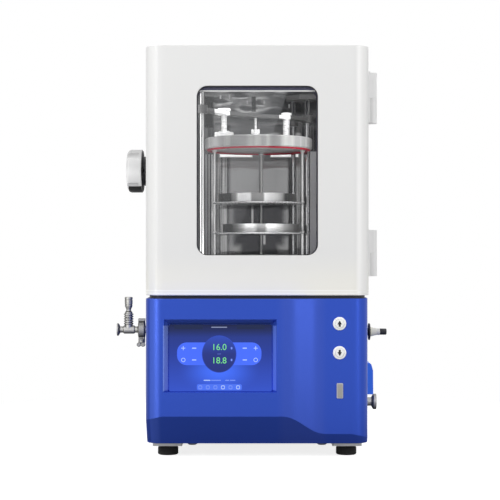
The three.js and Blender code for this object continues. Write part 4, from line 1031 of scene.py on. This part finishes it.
for tag, side in (("left", -1), ("right", 1)):
    x0, x1 = sorted((FITTING_AT[0] + side * 0.004, FITTING_AT[0] + side * 0.0105))
    ear = block(f"fitting_ear_{tag}", (x0, FITTING_AT[1] - 0.0025, LID_TOP + 0.012),
                (x1, FITTING_AT[1] + 0.0025, LID_TOP + 0.024), corner=2.2, soft=0.3)
    fit_out(ear, post_steel, "lift", "stainless")
nut_white = coated("nut_white", (0.86, 0.86, 0.86), gloss=0.3, specular=0.4)
for tag, at, reach in (("left", POST_LEFT, 16), ("right", POST_RIGHT, 13)):
    knob = turned(f"post_nut_{tag}", "Z", (*at, 0.8025), [
        (5, 0.2), (reach - 1.4, 0.2), (reach, 1), (reach, 5.2), (reach - 0.8, 6.2), (0, 6.4), (0, 5.3),
        (5, 5.3)], closed=True, soft=0.2)
    boss = turned(f"arm_boss_{tag}", "Z", (*at, 0.7928), [
        (7, 0), (reach - 2, 0), (reach - 1.2, 0.8), (reach - 1.2, 9), (reach - 2, 9.5), (7, 9.5)],
        closed=True, soft=0.2)
    fit_out(boss, nut_white, "lift", "stainless")
    fit_out(knob, nut_white, tag + "_knob", "stainless", tag + "_post_knob")

frosted = coated("frosted_acrylic", (0.27, 0.27, 0.27), gloss=0.34, variation=0.05, coat=0.3, alpha=0.94)
tree, _, where = parts_of(frosted)
tinted(frosted, (0.49, 0.49, 0.48), mapped(tree, drawn_noise(tree, where, (36, 36, 1), 3.0), 0.48, 0.68))
lid = turned("lid_disc", "Z", (*LID_AT, 0.7145), [
    (0, 0), (119.9, 0), (119.9, 3), (127.1, 3), (127.1, 0), (129.6, 0), (132, 2.4), (132, 24.6),
    (129.6, 27), (0, 27)], steps=160, soft=0.4)
fit_out(lid, frosted, "lift", "frosted_acrylic", "lid_plate")
red_rubber = coated("red_rubber", (0.30, 0.008, 0.025), gloss=0.45, bump=0.03, specular=0.2)
seal = turned("lid_ring", "Z", (*LID_AT, 0.7105), [
    (121.6, 0.6), (122.4, 0), (124.8, 0), (125.6, 0.6), (126.8, 2.6), (126.8, 7), (120.3, 7),
    (120.3, 2.6)], closed=True, steps=160, soft=0.3)
fit_out(seal, red_rubber, "lift", "red_rubber", "lid_seal")


# ---- Tray rack and trays ----
# Three round steel shelves on three rods hang under the lid, each with a spun round tray on it.
# The tray walls carry painted reflections: light and dark bands that run round and round.
shelf_parts = []
SHELF_TOPS = (0.5845, 0.5105, 0.4365)
for k, top in enumerate(SHELF_TOPS):
    shelf = turned(f"rack_shelf_{k}", "Z", (*LID_AT, top - 0.003), [
        (0, 0), (110.6, 0), (111, 0.4), (111, 2.6), (110.6, 3), (0, 3)], steps=144, soft=0)
    shelf_parts.append(shelf)
for k, turn in enumerate((0, 86, 180)):
    x = LID_AT[0] + 0.108 * math.cos(math.radians(turn))
    y = LID_AT[1] + 0.108 * math.sin(math.radians(turn))
    rod = turned(f"rack_rod_{k}", "Z", (x, y, 0.4335), [
        (0, 0), (3, 0), (3, 3.2), (3, 275), (5.6, 275.2), (6, 275.8), (6, 280.9), (0, 280.9)], steps=48,
        soft=0)
    shelf_parts.append(rod)
    for j, top in enumerate(SHELF_TOPS):
        nut = turned(f"rack_nut_{k}_{j}", "Z", (x, y, top), [
            (3, 0), (4.6, 0), (5, 0.5), (5, 3.6), (4.4, 4.2), (3, 4.2)], closed=True, steps=32, soft=0)
        shelf_parts.append(nut)
for k, part in enumerate(shelf_parts):
    fit_out(part, satin_steel if "shelf" in part.name else rod_steel, "lift", "stainless",
            *(["tray_rack"] if k == 0 else []))
for tag in ("upper", "middle", "lower"):
    low, high, mid = span("tray_" + tag)
    tray = turned(f"spun_tray_{tag}", "Z", (mid.x, mid.y, low.z), [
        (0, 0.02), (92.5, 0.02), (94.1, 0.8), (94.7, 2), (95, 19.2), (96, 19.6), (96, 20.6), (95.5, 21),
        (93.8, 21), (93.3, 20), (92.9, 2.6), (92.1, 1.6), (0, 1.5)], steps=160, soft=0)
    # Painted reflections round the tray wall: dark, light, grey and light bands from the left.
    stops = [(0.0, 0.04), (0.133, 0.05), (0.138, 0.18), (0.157, 0.28), (0.170, 0.95), (0.221, 0.95),
             (0.226, 0.28), (0.274, 0.28), (0.279, 0.9), (0.301, 0.72), (0.336, 0.45), (0.361, 0.22),
             (0.375, 0.04), (0.6, 0.12), (1.0, 0.04)]
    if tag != "upper":
        stops = [(0.0, 0.03), (0.11, 0.04), (0.145, 0.20), (0.165, 0.42), (0.185, 0.85), (0.215, 0.8),
                 (0.235, 0.28), (0.262, 0.30), (0.275, 0.85), (0.31, 0.6), (0.35, 0.22), (0.40, 0.10),
                 (0.5, 0.04), (0.7, 0.12), (1.0, 0.03)]
    fit_out(tray, spun("tray_steel_" + tag, mid, stops), "lift", "stainless", "tray_" + tag)


# ---- Cold trap and machinery inside the base ----
# The deep stainless well, the sealed compressor, the finned condenser with its fan, and the motor
# of the lift. They show only through the slots and with the lid raised.
well = turned("cold_well", "Z", (*LID_AT, 0.0865), [
    (0, 0), (100, 0), (112, 5), (118.5, 12), (120, 17), (120, 284), (134, 284), (134, 293.5),
    (132.5, 295), (117, 295), (117, 18), (115, 13), (108, 8), (99, 5), (0, 5)], steps=128)
fit_out(well, mirror_steel, "machine", "stainless", "chamber_well")
low, high, mid = span("compressor")
pot = turned("sealed_compressor", "Z", (mid.x, mid.y, low.z), [
    (0, 0), (60, 0), (60, 4), (50, 7), (50, 13), (56, 19), (58, 47), (58, 84), (60, 85), (60, 90),
    (58, 91), (58, 125), (51, 151), (40, 160), (28, 165), (10, 168), (0, 168)])
fit_out(pot, black_plastic, "machine", "dark_enamel", "compressor")
fin_metal = metal("fin_aluminium", (0.58, 0.59, 0.6), gloss=0.35, spread=0.1, stretch=(20, 900, 20))
fins = from_node("condenser", "condenser_fins", width=0.3)
fit_out(fins, fin_metal, "machine", "aluminium", "condenser")
rotor = from_node("fan_rotor", "fan_blades", width=0.3)
fit_out(rotor, black_plastic, "fan", "black_plastic", "fan_rotor")
motor = from_node("lift_motor", "geared_motor", width=0.6)
fit_out(motor, black_plastic, "machine", "dark_enamel", "lift_motor")
